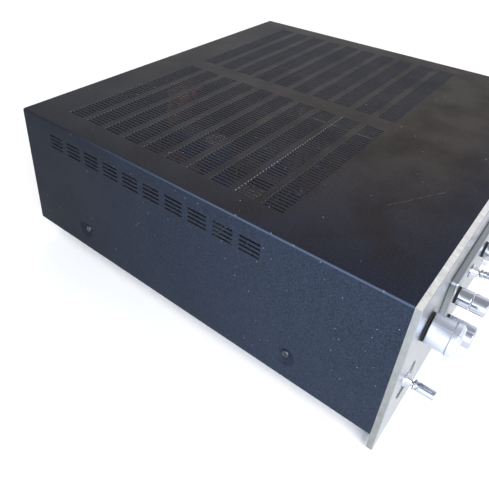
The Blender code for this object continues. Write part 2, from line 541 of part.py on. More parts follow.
amp = box(new(), 0.000, 0.185, 0.185, 0.290, 0.0100, 0.0116)
amp_parts = [box(new(), x, x + w, y, y + d, 0.0110, 0.0110 + h) for x, y, w, d, h in (
    (0.015, 0.200, 0.012, 0.012, 0.022), (0.040, 0.205, 0.016, 0.010, 0.016), (0.075, 0.200, 0.010, 0.022, 0.028),
    (0.105, 0.210, 0.018, 0.014, 0.018), (0.145, 0.205, 0.012, 0.012, 0.024), (0.050, 0.245, 0.022, 0.012, 0.014),
    (0.120, 0.250, 0.014, 0.018, 0.020))]
legs = [box(new(), x, x + 0.006, y, y + 0.006, DECK, 0.0105) for x in (0.003, 0.176) for y in (0.188, 0.281)]
finish("amplifier_board", amp, BOARD, joins=amp_parts + legs)
tuner = box(new(), -0.185, -0.010, 0.060, 0.215, 0.0200, 0.0216)
tuner_parts = [box(new(), x, x + w, y, y + d, 0.0210, 0.0210 + h) for x, y, w, d, h in (
    (-0.175, 0.080, 0.012, 0.012, 0.016), (-0.150, 0.085, 0.012, 0.012, 0.016), (-0.125, 0.080, 0.030, 0.040, 0.028),
    (-0.080, 0.090, 0.012, 0.012, 0.016), (-0.055, 0.080, 0.014, 0.022, 0.020), (-0.170, 0.150, 0.040, 0.030, 0.024),
    (-0.110, 0.160, 0.012, 0.012, 0.016), (-0.080, 0.155, 0.020, 0.012, 0.014), (-0.045, 0.165, 0.012, 0.012, 0.016))]
legs = [box(new(), x, x + 0.006, y, y + 0.006, DECK, 0.0205) for x in (-0.182, -0.019) for y in (0.063, 0.206)]
finish("tuner_board", tuner, BOARD, joins=tuner_parts + legs)
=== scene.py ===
# Looks of the stereo receiver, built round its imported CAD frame.
# Units are metres in the row frame: +Z is up, the front panel faces -Y, the floor is at z = 0.
import json
import math
import random

import bmesh
import bpy
from mathutils import Matrix, Vector


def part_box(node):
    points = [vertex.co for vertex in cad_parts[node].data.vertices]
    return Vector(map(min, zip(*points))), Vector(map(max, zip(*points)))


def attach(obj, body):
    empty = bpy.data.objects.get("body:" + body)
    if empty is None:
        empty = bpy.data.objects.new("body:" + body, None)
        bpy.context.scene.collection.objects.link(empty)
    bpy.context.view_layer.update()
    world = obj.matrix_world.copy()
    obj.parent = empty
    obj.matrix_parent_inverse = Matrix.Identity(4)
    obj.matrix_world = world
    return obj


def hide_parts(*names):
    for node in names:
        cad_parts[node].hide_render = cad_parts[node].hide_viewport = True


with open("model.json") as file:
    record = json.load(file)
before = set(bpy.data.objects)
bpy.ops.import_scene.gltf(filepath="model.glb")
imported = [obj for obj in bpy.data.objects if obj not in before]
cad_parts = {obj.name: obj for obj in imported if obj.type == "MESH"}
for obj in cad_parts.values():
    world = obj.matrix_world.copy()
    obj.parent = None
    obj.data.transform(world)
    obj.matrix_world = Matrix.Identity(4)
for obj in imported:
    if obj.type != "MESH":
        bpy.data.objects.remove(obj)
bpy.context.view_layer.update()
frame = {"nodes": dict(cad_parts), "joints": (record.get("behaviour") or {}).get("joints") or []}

joints = {joint["name"]: joint for joint in frame["joints"]}


# ---- Camera ---------------------------------------------------------------------------------
# A hand-held camera close to the left front corner, a little above the cover, looks down along
# the left side.  It is tipped slightly, and the shift keeps the off-centre framing.
HEADING = math.radians(38.195)
DIP = math.radians(-33.816)
TIP = math.radians(2.383)

forward = Vector((math.cos(DIP) * math.cos(HEADING), math.cos(DIP) * math.sin(HEADING), math.sin(DIP)))
level = forward.cross(Vector((0, 0, 1))).normalized()
above = level.cross(forward)
right = math.cos(TIP) * level + math.sin(TIP) * above
up = math.cos(TIP) * above - math.sin(TIP) * level

camera_data = bpy.data.cameras.new("camera")
camera_data.sensor_width = 36.0
camera_data.lens = 38.17
camera_data.shift_x = 0.0652
camera_data.shift_y = -0.1047
camera_data.clip_start = 0.01
camera = bpy.data.objects.new("camera", camera_data)
camera.matrix_world = Matrix.Translation((-0.4496, -0.2204, 0.3648)) @ Matrix(
    (right, up, -forward)).transposed().to_4x4()
bpy.context.scene.collection.objects.link(camera)
bpy.context.scene.camera = camera


# ---- Floor and light ------------------------------------------------------------------------
# A matt white studio floor under a wide white sky that dims overhead.  A large soft box stands
# high at the left front, a low bluish window at the left and a weaker warm box at the right rear.
def linear(colour):
    """Turn an sRGB hex colour to the linear RGBA that sockets take."""
    parts = [int(colour[i:i + 2], 16) / 255 for i in (1, 3, 5)]
    return (*[p / 12.92 if p <= 0.04045 else ((p + 0.055) / 1.055) ** 2.4 for p in parts], 1.0)


def add(tree, kind, settings=None, links=None):
    """Add one node: settings are its own values, links give a value or a socket to its inputs."""
    node = tree.nodes.new(kind)
    for key, value in (settings or {}).items():
        setattr(node, key, value)
    for key, value in (links or {}).items():
        if isinstance(value, bpy.types.NodeSocket):
            tree.links.new(value, node.inputs[key])
        else:
            node.inputs[key].default_value = value
    return node


def per_mm(size):
    """Pattern scale that gives one feature for each `size` millimetres."""
    return 1000.0 / size


def blend(tree, factor, first, second, kind="MIX"):
    """Colour between two others, each of them a hex colour or a socket."""
    ends = [linear(end) if isinstance(end, str) else end for end in (first, second)]
    return add(tree, "ShaderNodeMix", {"data_type": "RGBA", "blend_type": kind}, {
        0: factor, 6: ends[0], 7: ends[1]}).outputs[2]


def ramp(tree, value, start, end, low=0.0, high=1.0):
    """Value that goes from low to high as the given one goes from start to end."""
    return add(tree, "ShaderNodeMapRange", links={
        "Value": value, "From Min": start, "From Max": end, "To Min": low, "To Max": high}).outputs[0]


def maths(tree, operation, first, second=None):
    """One step of arithmetic on one or two values."""
    links = {0: first} if second is None else {0: first, 1: second}
    return add(tree, "ShaderNodeMath", {"operation": operation}, links).outputs[0]


def noise(tree, where, size, detail=2.0):
    """Noise with features of `size` millimetres."""
    return add(tree, "ShaderNodeTexNoise", links={
        "Vector": where, "Scale": per_mm(size), "Detail": detail}).outputs["Fac"]


sky = bpy.data.worlds.new("studio_sky")
sky.use_nodes = True
bpy.context.scene.world = sky
direction = add(sky.node_tree, "ShaderNodeTexCoord")
height = add(sky.node_tree, "ShaderNodeSeparateXYZ", links={0: direction.outputs["Generated"]})
climb = add(sky.node_tree, "ShaderNodeMapRange", {"interpolation_type": "SMOOTHSTEP"}, {
    "Value": height.outputs["Z"], "From Min": 0.45, "From Max": 0.95})
gradient = blend(sky.node_tree, climb.outputs[0], "#f4f7ff", "#a3a4a8")
background = sky.node_tree.nodes["Background"]
background.inputs["Strength"].default_value = 1.25
sky.node_tree.links.new(gradient, background.inputs["Color"])

# name, place, size, power in watts, colour
SOFT_BOXES = (
    ("left_front_box", (-0.95, -1.15, 1.05), 1.1, 30.0, "#fffdfb"),
    ("left_window", (-1.05, -0.35, 0.28), 0.6, 4.5, "#bcd4ff"),
    ("right_rear_box", (1.10, 0.90, 1.30), 1.0, 7.0, "#ffe2c4"),
)
for name, place, size, power, colour in SOFT_BOXES:
    lamp = bpy.data.lights.new(name, "AREA")
    lamp.size = size
    lamp.energy = power
    lamp.color = linear(colour)[:3]
    holder = bpy.data.objects.new(name, lamp)
    holder.location = place
    holder.rotation_euler = (Vector((0, 0, 0.06)) - Vector(place)).to_track_quat("-Z", "Y").to_euler()
    bpy.context.scene.collection.objects.link(holder)

# Matt emulsion on board: a flat white with a barely visible roller texture.
# The floor is a one-way sheet, so the underside of the receiver can be looked at from below.
floor_paint = bpy.data.materials.new("matt_white_emulsion")
floor_paint.use_nodes = True
tree = floor_paint.node_tree
shader = tree.nodes["Principled BSDF"]
shader.inputs["Roughness"].default_value = 0.85
shader.inputs["Specular IOR Level"].default_value = 0.2
where = add(tree, "ShaderNodeTexCoord")
roller = noise(tree, where.outputs["Object"], 4.0)
tree.links.new(blend(tree, roller, "#f3f3f2", "#f8f8f7"), shader.inputs["Base Color"])
facing = add(tree, "ShaderNodeNewGeometry")
clear = add(tree, "ShaderNodeBsdfTransparent")
one_way = add(tree, "ShaderNodeMixShader", links={
    0: facing.outputs["Backfacing"], 1: shader.outputs[0], 2: clear.outputs[0]})
tree.links.new(one_way.outputs[0], tree.nodes["Material Output"].inputs["Surface"])

floor_mesh = bpy.data.meshes.new("floor")
FLOOR_HALF = 6
floor_mesh.from_pydata([(x * FLOOR_HALF, y * FLOOR_HALF, 0) for x,
                        y in ((-1, -1), (1, -1), (1, 1), (-1, 1))], [], [(0, 1, 2, 3)])
floor_mesh.materials.append(floor_paint)
floor = bpy.data.objects.new("floor", floor_mesh)
bpy.context.scene.collection.objects.link(floor)

bpy.context.scene.view_settings.view_transform = "Standard"


# ---- Chassis pan ----------------------------------------------------------------------------
# A shallow pan of bright zinc-plated steel sheet, 1.2 mm thick, blanked and folded up at both
# sides, with rows of cooling slots punched under the power stage.
def soften(corners, closed=False, steps=4):
    """Outline through corners (a, b, radius), with an arc at each corner that has a radius."""
    points = []
    for i, corner in enumerate(corners):
        here = Vector(corner[:2])
        if len(corner) < 3 or (not closed and i in (0, len(corners) - 1)):
            points.append(here)
            continue
        back = (Vector(corners[i - 1][:2]) - here).normalized()
        on = (Vector(corners[(i + 1) % len(corners)][:2]) - here).normalized()
        half = back.angle(on) / 2
        centre = here + (back + on).normalized() * (corner[2] / math.sin(half))
        start = here + back * (corner[2] / math.tan(half)) - centre
        end = here + on * (corner[2] / math.tan(half)) - centre
        first = math.atan2(start.y, start.x)
        sweep = (math.atan2(end.y, end.x) - first + math.pi) % (2 * math.pi) - math.pi
        points += [centre + corner[2] * Vector((math.cos(first + sweep * k / steps),
                                                math.sin(first + sweep * k / steps)))
                   for k in range(steps + 1)]
    return points


def folded_sheet(path, y_ends, openings, dimples=()):
    """Outer skin of a folded sheet: path is its cross-section (x, z), swept along Y.
    An opening is (u0, u1, y0, y1), with u measured along the path from its start.
    A dimple is (u, y, half width of its square, [(radius, depth), ...])."""
    lengths = [0.0]
    for a, b in zip(path, path[1:]):
        lengths.append(lengths[-1] + (b - a).length)
    us, ys = set(lengths), set(y_ends)
    for u0, u1, y0, y1 in openings:
        us |= {u0, u1}
        ys |= {y0, y1}
    for u, y, half, rings in dimples:
        us |= {u + half * (k / 4 - 1) for k in range(9)}
        ys |= {y + half * (k / 4 - 1) for k in range(9)}
    us = sorted({round(u, 7) for u in us})
    ys = sorted({round(y, 7) for y in ys})
    u_index = {u: i for i, u in enumerate(us)}
    y_index = {y: j for j, y in enumerate(ys)}
    open_cells = set()
    squares = [(u - half, u + half, y - half, y + half) for u, y, half, rings in dimples]
    for u0, u1, y0, y1 in list(openings) + squares:
        for i in range(u_index[round(u0, 7)], u_index[round(u1, 7)]):
            for j in range(y_index[round(y0, 7)], y_index[round(y1, 7)]):
                open_cells.add((i, j))

    def place(u):
        k = 0
        while k < len(path) - 2 and u > lengths[k + 1]:
            k += 1
        step = (path[k + 1] - path[k]) / (lengths[k + 1] - lengths[k])
        return path[k] + step * (u - lengths[k]), step

    bm = bmesh.new()
    spots = [place(u)[0] for u in us]
    made = {}

    def vertex(i, j):
        if (i, j) not in made:
            made[i, j] = bm.verts.new((spots[i].x, ys[j], spots[i].y))
        return made[i, j]

    for i in range(len(us) - 1):
        for j in range(len(ys) - 1):
            if (i, j) not in open_cells:
                bm.faces.new((vertex(i, j), vertex(i + 1, j), vertex(i + 1, j + 1), vertex(i, j + 1)))

    for u, y, half, rings in dimples:
        i0, i1 = u_index[round(u - half, 7)], u_index[round(u + half, 7)]
        j0, j1 = y_index[round(y - half, 7)], y_index[round(y + half, 7)]
        edge = [(i, j0) for i in range(i0, i1)] + [(i1, j) for j in range(j0, j1)]
        edge += [(i, j1) for i in range(i1, i0, -1)] + [(i0, j) for j in range(j1, j0, -1)]
        loop = [vertex(i, j) for i, j in edge]
        bearings = [math.atan2(ys[j] - y, us[i] - u) for i, j in edge]
        middle, step = place(u)
        inward = Vector((step.y, 0, -step.x))
        for radius, depth in rings:
            ring = []
            for bearing in bearings:
                spot, step = place(u + radius * math.cos(bearing))
                rim = Vector((spot.x, y + radius * math.sin(bearing), spot.y))
                ring.append(bm.verts.new(rim + inward * depth))
            for k in range(len(loop)):
                m = (k + 1) % len(loop)
                bm.faces.new((loop[k], loop[m], ring[m], ring[k]))
            loop = ring
    return bm


def piece(name, bm, material, replaces=(), body="receiver", at=None, sharp=32, changes=()):
    """Make one named piece from a bmesh, smooth it up to the sharp angle and let it ride on a body.
    `at` is where its own origin goes; `changes` are (modifier kind, settings), applied at once."""
    mesh = bpy.data.meshes.new(name)
    bm.to_mesh(mesh)
    bm.free()
    obj = bpy.data.objects.new(name, mesh)
    bpy.context.scene.collection.objects.link(obj)
    for kind, settings in changes:
        change = obj.modifiers.new(kind.lower(), kind)
        for key, value in settings.items():
            setattr(change, key, value)
    if changes:
        obj.data = bpy.data.meshes.new_from_object(obj.evaluated_get(bpy.context.evaluated_depsgraph_get()))
        obj.modifiers.clear()
        obj.data.name = name
    for finish in (material if isinstance(material, (list, tuple)) else [material]):
        obj.data.materials.append(finish)
    obj.data.shade_smooth()
    obj.data.set_sharp_from_angle(angle=math.radians(sharp))
    if at is not None:
        obj.matrix_world = at if isinstance(at, Matrix) else Matrix.Translation(at)
    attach(obj, body)
    if replaces:
        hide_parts(*replaces)
    return obj


def new_material(name, colour, metallic, roughness):
    """Principled material with its plain values, its node tree and its shader."""
    material = bpy.data.materials.new(name)
    material.use_nodes = True
    shader = material.node_tree.nodes["Principled BSDF"]
    shader.inputs["Base Color"].default_value = linear(colour)
    shader.inputs["Metallic"].default_value = metallic
    shader.inputs["Roughness"].default_value = roughness
    return material, material.node_tree, shader


def relief(tree, shader, size, depth, rough, stretch=(1, 1, 1), colours=None):
    """Surface relief of features `size` mm wide and `depth` mm high, which also varies the
    roughness between two values and, if given, the colour between two."""
    where = add(tree, "ShaderNodeTexCoord")
    scaled = add(tree, "ShaderNodeVectorMath", {"operation": "MULTIPLY"}, {
        0: where.outputs["Object"], 1: stretch})
    pattern = add(tree, "ShaderNodeTexNoise", links={
        "Vector": scaled.outputs[0], "Scale": per_mm(size), "Detail": 4.0, "Roughness": 0.6}).outputs["Fac"]
    bump = add(tree, "ShaderNodeBump", links={"Height": pattern, "Distance": depth / 1000, "Strength": 1.0})
    tree.links.new(bump.outputs[0], shader.inputs["Normal"])
    tree.links.new(ramp(tree, pattern, 0.3, 0.7, *rough), shader.inputs["Roughness"])
    if colours:
        tree.links.new(blend(tree, pattern, *colours), shader.inputs["Base Color"])


def surface(name, colour, metallic, roughness, size, depth, rough, colours=None, stretch=(1, 1, 1)):
    """Material with a relief: its plain values, then those of the relief."""
    material, tree, shader = new_material(name, colour, metallic, roughness)
    relief(tree, shader, size, depth, rough, stretch, colours)
    return material


# Bright zinc plate: a soft grey shine with faint crystals and a few dull stains.
zinc = surface("bright_zinc_plated_steel", "#a9aaa6", 1.0, 0.38, 3.0, 0.02, (0.30, 0.48),
               ("#9c9d99", "#b7b8b4"))

SHEET = 0.0012
FOLD = 0.0020
pan_low, pan_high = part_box("chassis_pan")
pan_path = soften([(pan_high.x, pan_high.z), (pan_high.x, pan_low.z, FOLD),
                   (pan_low.x, pan_low.z, FOLD), (pan_low.x, pan_high.z)], steps=5)
# u runs down the right side, along the floor to the left and up the left side
fold_loss = (2 - math.pi / 2) * FOLD
pan_side = pan_high.z - pan_low.z - fold_loss
PAN_SLOT = (0.0030, 0.042)
pan_slots = []
for row_y in (0.010, 0.066, 0.122):
    for k in range(22):
        u = pan_side + pan_high.x - 0.080 - 0.0060 * k
        pan_slots.append((u - PAN_SLOT[0] / 2, u + PAN_SLOT[0] / 2, row_y, row_y + PAN_SLOT[1]))
piece("chassis_pan_sheet", folded_sheet(pan_path, (pan_low.y, pan_high.y), pan_slots), zinc,
      ["chassis_pan"], changes=[
          ("SOLIDIFY", {"thickness": SHEET, "offset": -1.0, "use_even_offset": True})])


# ---- Front and rear chassis panels ----------------------------------------------------------
# Flat zinc-plated sheets screwed to the pan.  The front one carries all the controls behind the
# face, the rear one carries the sockets and is held by a row of self-tapping screws.
def block(bm, low, high, edge=0.0, segments=2):
    """Add a box between two corners, with its edges rounded by `edge`."""
    made = bmesh.ops.create_cube(bm, size=1.0)["verts"]
    low, high = Vector(low), Vector(high)
    for vert in made:
        vert.co = (low + high) / 2 + Vector(a * b for a, b in zip(vert.co, high - low))
    if edge:
        edges = list({e for v in made for e in v.link_edges})
        bmesh.ops.bevel(bm, geom=edges, offset=edge, segments=segments, affect="EDGES", profile=0.5)
    return bm


def bar(low, high, edge=0.0):
    """New solid box between two corners, with its edges rounded by `edge`."""
    return block(bmesh.new(), low, high, edge)


def turn(bm, profile, at=(0, 0, 0), axis="Y", steps=64, sign=1):
    """Turn a profile of (radius, distance along the axis) about an axis through `at`.
    One that starts or ends off the axis is closed on itself, as a ring."""
    at = Vector(at)
    lines = {"X": (Vector((1, 0, 0)), Vector((0, 1, 0)), Vector((0, 0, 1))),
             "Y": (Vector((0, 1, 0)), Vector((0, 0, 1)), Vector((1, 0, 0))),
             "Z": (Vector((0, 0, 1)), Vector((1, 0, 0)), Vector((0, 1, 0)))}[axis]
    rings = []
    for radius, distance in profile:
        spot = at + lines[0] * distance * sign
        if radius < 1e-7:
            rings.append([bm.verts.new(spot)])
            continue
        rings.append([bm.verts.new(spot + radius * (math.cos(2 * math.pi * k / steps) * lines[1]
                                                    + math.sin(2 * math.pi * k / steps) * lines[2]))
                      for k in range(steps)])
    pairs = list(zip(rings, rings[1:]))
    if profile[0][0] > 1e-7:
        pairs.append((rings[-1], rings[0]))
    faces = []
    for p, q in pairs:
        if len(p) == len(q) == 1:
            continue
        for k in range(steps):
            m = (k + 1) % steps
            if len(p) == 1:
                faces.append(bm.faces.new((p[0], q[m], q[k])))
            elif len(q) == 1:
                faces.append(bm.faces.new((p[k], p[m], q[0])))
            else:
                faces.append(bm.faces.new((p[k], p[m], q[m], q[k])))
    bmesh.ops.recalc_face_normals(bm, faces=faces)
    return bm


def lathe(corners, at=(0, 0, 0), axis="Y", steps=64, sign=1):
    """New solid turned from a profile whose corners may have a radius each."""
    return turn(bmesh.new(), soften(corners), at, axis, steps, sign)


def join(bm, part, matrix=Matrix()):
    """Move one mesh into another."""
    part.transform(matrix)
    mesh = bpy.data.meshes.new("part")
    part.to_mesh(mesh)
    part.free()
    bm.from_mesh(mesh)


def carve(bm, *cutters):
    """Cut closed meshes out of a closed mesh."""
    objects = []
    for shape in (bm, *cutters):
        mesh = bpy.data.meshes.new("carving")
        bmesh.ops.recalc_face_normals(shape, faces=shape.faces)
        shape.to_mesh(mesh)
        shape.free()
        objects.append(bpy.data.objects.new("carving", mesh))
        bpy.context.scene.collection.objects.link(objects[-1])
    for tool in objects[1:]:
        cut = objects[0].modifiers.new("cut", "BOOLEAN")
        cut.object = tool
        cut.solver = "EXACT"
        cut.operation = "DIFFERENCE"
    mesh = bpy.data.meshes.new_from_object(objects[0].evaluated_get(bpy.context.evaluated_depsgraph_get()))
    result = bmesh.new()
    result.from_mesh(mesh)
    for obj in objects:
        bpy.data.objects.remove(obj, do_unlink=True)
    return result


def slab(layers, bm=None):
    """Closed solid through outlines of (x, z) points, each given with its place along Y."""
    bm = bm or bmesh.new()
    rings = [[bm.verts.new((p.x, y, p.y)) for p in outline] for outline, y in layers]
    faces = [bm.faces.new(rings[0]), bm.faces.new(rings[-1])]
    for p, q in zip(rings, rings[1:]):
        for k in range(len(p)):
            m = (k + 1) % len(p)
            faces.append(bm.faces.new((p[k], p[m], q[m], q[k])))
    bmesh.ops.recalc_face_normals(bm, faces=faces)
    return bm


def screw_head(radius, height):
    """Pan head with a cross recess, its bearing face at y = 0 and its crown towards -Y."""
    head = lathe([(0, -height), (radius * 0.75, -height, radius * 0.35),
                  (radius, -height * 0.35, radius * 0.25),
                  (radius, 0), (radius * 0.5, 0), (radius * 0.5, 0.0015), (0, 0.0015)], steps=40)
    cutters = []
    for turned in (0, 90):
        wing = slab([
            ([Vector((side * radius * half, z)) for side, half, z in (
                (-1, wide, -radius * 0.10), (1, wide, -radius * 0.10),
                (1, wide, radius * 0.10), (-1, wide, radius * 0.10))], y)
            for wide, y in ((0.56, -height - 0.0002), (0.22, -height * 0.15))])
        wing.transform(Matrix.Rotation(math.radians(turned), 4, "Y"))
        cutters.append(wing)
    return carve(head, *cutters)


def screws(name, spots, facing, radius, height, material, replaces=()):
    """One piece of like screws: spots are their bearing points, facing is where the heads look."""
    turned = Vector((0, -1, 0)).rotation_difference(Vector(facing)).to_matrix().to_4x4()
    pattern = screw_head(radius, height)
    bm = bmesh.new()
    for k, spot in enumerate(spots):
        spin = Matrix.Rotation(0.7 + 1.9 * k, 4, "Y")
        join(bm, pattern.copy(), Matrix.Translation(spot) @ turned @ spin)
    piece(name, bm, material, replaces)


for node in ("front_subpanel", "button_switch_bank"):
    frame["nodes"][node].data.materials[0] = zinc

# The rear panel is bare of print, and a round hole in it takes the cord gland.
rear_low, rear_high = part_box("rear_panel")
gland_low, gland_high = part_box("cord_gland")
gland_x, gland_z = (gland_low.x + gland_high.x) / 2, (gland_low.z + gland_high.z) / 2
GLAND_HOLE_R, DRILL = 0.0057, 0.01
rear = bar(rear_low, rear_high, 0.0002)
gland_cut = turn(bmesh.new(), [(0, 0), (GLAND_HOLE_R, 0), (GLAND_HOLE_R, DRILL), (0, DRILL)],
                 (gland_x, rear_low.y - 0.004, gland_z))
piece("rear_panel_sheet", carve(rear, gland_cut), zinc, ["rear_panel"])
panel_screws = [(x, rear_high.y, z) for x in (-0.200, -0.035, 0.100, 0.200) for z in (0.0265, 0.1395)]
screws("rear_panel_screws", panel_screws, (0, 1, 0), 0.0030, 0.0018, zinc)


# ---- Feet -----------------------------------------------------------------------------------
# Four round feet of black moulded rubber, tapered, with a blind hole up the middle through
# which a screw holds each of them to the pan.
rubber = surface("moulded_black_rubber", "#1d1d1e", 0.0, 0.8, 0.5, 0.03, (0.72, 0.9),
                 ("#191919", "#262627"))

for place in ("front_left", "front_right", "rear_left", "rear_right"):
    low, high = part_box("foot_" + place)
    centre = Vector(((low.x + high.x) / 2, (low.y + high.y) / 2, 0))
    tall = high.z
    profile = soften([(0, tall), (0.0165, tall, 0.0006), (0.0160, tall - 0.004, 0.0010),
                      (0.0138, 0.0010, 0.0012), (0.0118, 0.0, 0.0006), (0.0080, 0.0, 0.0008),
                      (0.0055, 0.0010, 0.0005), (0.0050, 0.0060, 0.0004), (0, 0.0060)])
    piece("foot_%s_rubber" % place, turn(bmesh.new(), profile, centre, "Z"), rubber,
          ["foot_" + place])
    screws("foot_%s_screw" % place, [centre + Vector((0, 0, 0.0059))], (0, 0, -1), 0.0032, 0.0016, zinc)


# ---- Power transformer ----------------------------------------------------------------------
# A stack of varnished iron laminations round a bobbin wound with enamelled copper wire and
# taped over; four through bolts clamp the stack.  The varnish has browned with heat.
core_low, core_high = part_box("power_transformer")
core_y = (core_low.y + 0.014, core_high.y - 0.014)
core_x = (core_low.x, core_high.x)

iron = surface("varnished_iron_laminations", "#4a3026", 0.35, 0.42, 0.5, 0.25, (0.32, 0.55),
               ("#38231b", "#6b4230"), stretch=(0.05, 1, 0.05))
copper = surface("enamelled_copper_winding", "#6c3a1f", 0.6, 0.35, 0.9, 0.35, (0.28, 0.5),
                 ("#4f2613", "#8a4c28"), stretch=(0.03, 1, 1))
tape = surface("brown_crepe_paper_tape", "#4e3520", 0.0, 0.4, 6.0, 0.12, (0.3, 0.55),
               ("#3f2a18", "#5c3f24"), stretch=(1, 1, 3))

stack = bmesh.new()
block(stack, (core_x[0], core_y[0], core_low.z), (core_x[1], core_y[1], core_high.z), 0.0008)
for x in (core_x[0] + 0.006, core_x[1] - 0.006):
    for z in (core_low.z + 0.008, core_high.z - 0.006):
        for y, sign in ((core_y[0], -1), (core_y[1], 1)):
            nut = [(0, 0.0075), (0.0020, 0.0075), (0.0020, 0.0032), (0.0038, 0.0032), (0.0038, 0), (0, 0)]
            turn(stack, nut, (x, y, z), "Y", 24, sign)
piece("power_transformer_laminations", stack, iron, ["power_transformer"])

coil_x = (core_x[0] + 0.010, core_x[1] - 0.010)
layers = []
for y, inset in ((core_low.y, 0.004), (core_low.y + 0.003, 0.0008), (core_low.y + 0.0125, 0.0),
                 (core_high.y - 0.0125, 0.0), (core_high.y - 0.003, 0.0008), (core_high.y, 0.004)):
    outline = soften([(coil_x[0] + inset, core_low.z + 0.008 + inset, 0.009),
                      (coil_x[1] - inset, core_low.z + 0.008 + inset, 0.009),
                      (coil_x[1] - inset, core_high.z + 0.0035 - inset, 0.009),
                      (coil_x[0] + inset, core_high.z + 0.0035 - inset, 0.009)], closed=True, steps=6)
    layers.append((outline, y))
piece("power_transformer_winding", slab(layers), copper)
bands = bmesh.new()
for y in (core_low.y + 0.005, core_high.y - 0.009):
    block(bands, (coil_x[0] - 0.0004, y, core_low.z + 0.0076),
          (coil_x[1] + 0.0004, y + 0.004, core_high.z + 0.0039), 0.0092, 4)
block(bands, (coil_x[0] + 0.006, core_y[0] + 0.002, core_high.z + 0.0010),
      (coil_x[1] - 0.006, core_y[1] - 0.002, core_high.z + 0.0044), 0.0010)
piece("power_transformer_tape", bands, tape)


# ---- Filter capacitors ----------------------------------------------------------------------
# Two large aluminium cans in shrunk blue PVC sleeves that turn over the shoulder, with a
# pressed vent cross in the bare top; a steel band clamp holds each at its foot.
sleeve = surface("shrunk_blue_pvc_sleeve", "#1d3a6d", 0.0, 0.32, 14.0, 0.08, (0.26, 0.42),
                 ("#18315f", "#24467d"))
can_metal = surface("drawn_aluminium_can", "#b9bbbc", 1.0, 0.34, 1.2, 0.02, (0.28, 0.42))

for k in (1, 2):
    low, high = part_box("filter_capacitor_%d" % k)
    spot = Vector(((low.x + high.x) / 2, (low.y + high.y) / 2, low.z))
    radius, tall = (high.x - low.x) / 2, high.z - low.z
    jacket = soften([(radius - 0.0008, 0), (radius, 0, 0.0003), (radius, tall - 0.0026, 0.0022),
                     (radius - 0.0034, tall, 0.0006), (radius - 0.0040, tall - 0.0008),
                     (radius - 0.0008, tall - 0.004)])
    can = soften([(0, 0.0002), (radius - 0.0010, 0.0002, 0.0004), (radius - 0.0010, tall - 0.003, 0.001),
                  (radius - 0.0042, tall - 0.0012, 0.0004), (0, tall - 0.0012)])
    piece("filter_capacitor_%d_sleeve" % k, turn(bmesh.new(), jacket, spot, "Z"), sleeve,
          ["filter_capacitor_%d" % k])
    top = turn(bmesh.new(), can, spot, "Z")
    vents = []
    for turned in (0, 90):
        vent = bar((-0.0085, -0.0003, tall - 0.0016), (0.0085, 0.0003, tall))
        vent.transform(Matrix.Translation(spot) @ Matrix.Rotation(math.radians(turned + 30 * k), 4, "Z"))
        vents.append(vent)
    piece("filter_capacitor_%d_can" % k, carve(top, *vents), can_metal)
    clamp = turn(bmesh.new(), [(radius + 0.0002, 0.004), (radius + 0.0011, 0.004), (radius + 0.0011, 0.014),
                               (radius + 0.0002, 0.014)], spot, "Z")
    block(clamp, spot + Vector((radius, -0.0022, 0.004)), spot + Vector((radius + 0.008, -0.0010, 0.014)),
          0.0003)
    block(clamp, spot + Vector((radius, 0.0010, 0.004)), spot + Vector((radius + 0.008, 0.0022, 0.014)),
          0.0003)
    piece("filter_capacitor_%d_clamp" % k, clamp, zinc)


# ---- Heat sink ------------------------------------------------------------------------------
# A black anodised aluminium extrusion: a thick base with tall, slightly tapered fins that run
# from front to back beneath the rear rows of slots.
anodised = surface("black_anodised_extrusion", "#1c1c1f", 0.6, 0.45, 0.35, 0.02, (0.36, 0.52),
                   ("#161618", "#26262a"), stretch=(1, 0.04, 1))

sink_low, sink_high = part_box("heat_sink")
FIN_PITCH, FINS, SINK_BASE = 0.0078, 23, 0.0075
base_top = sink_low.z + SINK_BASE
outline = [(sink_low.x, sink_low.z), (sink_high.x, sink_low.z), (sink_high.x, base_top, 0.0005)]
for k in range(FINS):
    x = sink_high.x - 0.0015 - FIN_PITCH * k
    outline += [(x, base_top, 0.0006), (x - 0.0006, sink_high.z, 0.0006),
                (x - 0.0020, sink_high.z, 0.0006), (x - 0.0026, base_top, 0.0006)]
outline += [(sink_low.x, base_top, 0.0005)]
shape = soften(outline, closed=True, steps=2)
comb = slab([(shape, sink_low.y), (shape, sink_high.y)])
piece("heat_sink_extrusion", comb, anodised, ["heat_sink"], sharp=25)


# ---- Circuit boards -------------------------------------------------------------------------
# Brown paper-phenolic boards on steel legs.  They carry upright electrolytic capacitors, film
# capacitors, carbon resistors, transistors and, on the tuner board, tinned coil cans.
phenolic = surface("paper_phenolic_board", "#7a5530", 0.0, 0.5, 1.5, 0.02, (0.42, 0.6),
                   ("#6c4826", "#8a6238"))
epoxy = surface("moulded_black_epoxy", "#17171a", 0.0, 0.42, 0.4, 0.02, (0.35, 0.5))
lacquer = surface("beige_resistor_lacquer", "#b79a6a", 0.0, 0.35, 1.0, 0.03, (0.28, 0.45),
                  ("#a88a58", "#c7ab7c"))
film = surface("dipped_green_film_capacitor", "#4d6a35", 0.0, 0.3, 2.0, 0.05, (0.22, 0.4),
               ("#42602c", "#5c7a40"))
tin = surface("tinned_steel_can", "#c2c3c0", 1.0, 0.3, 2.2, 0.02, (0.22, 0.42), ("#b4b5b1", "#cfd0cd"))

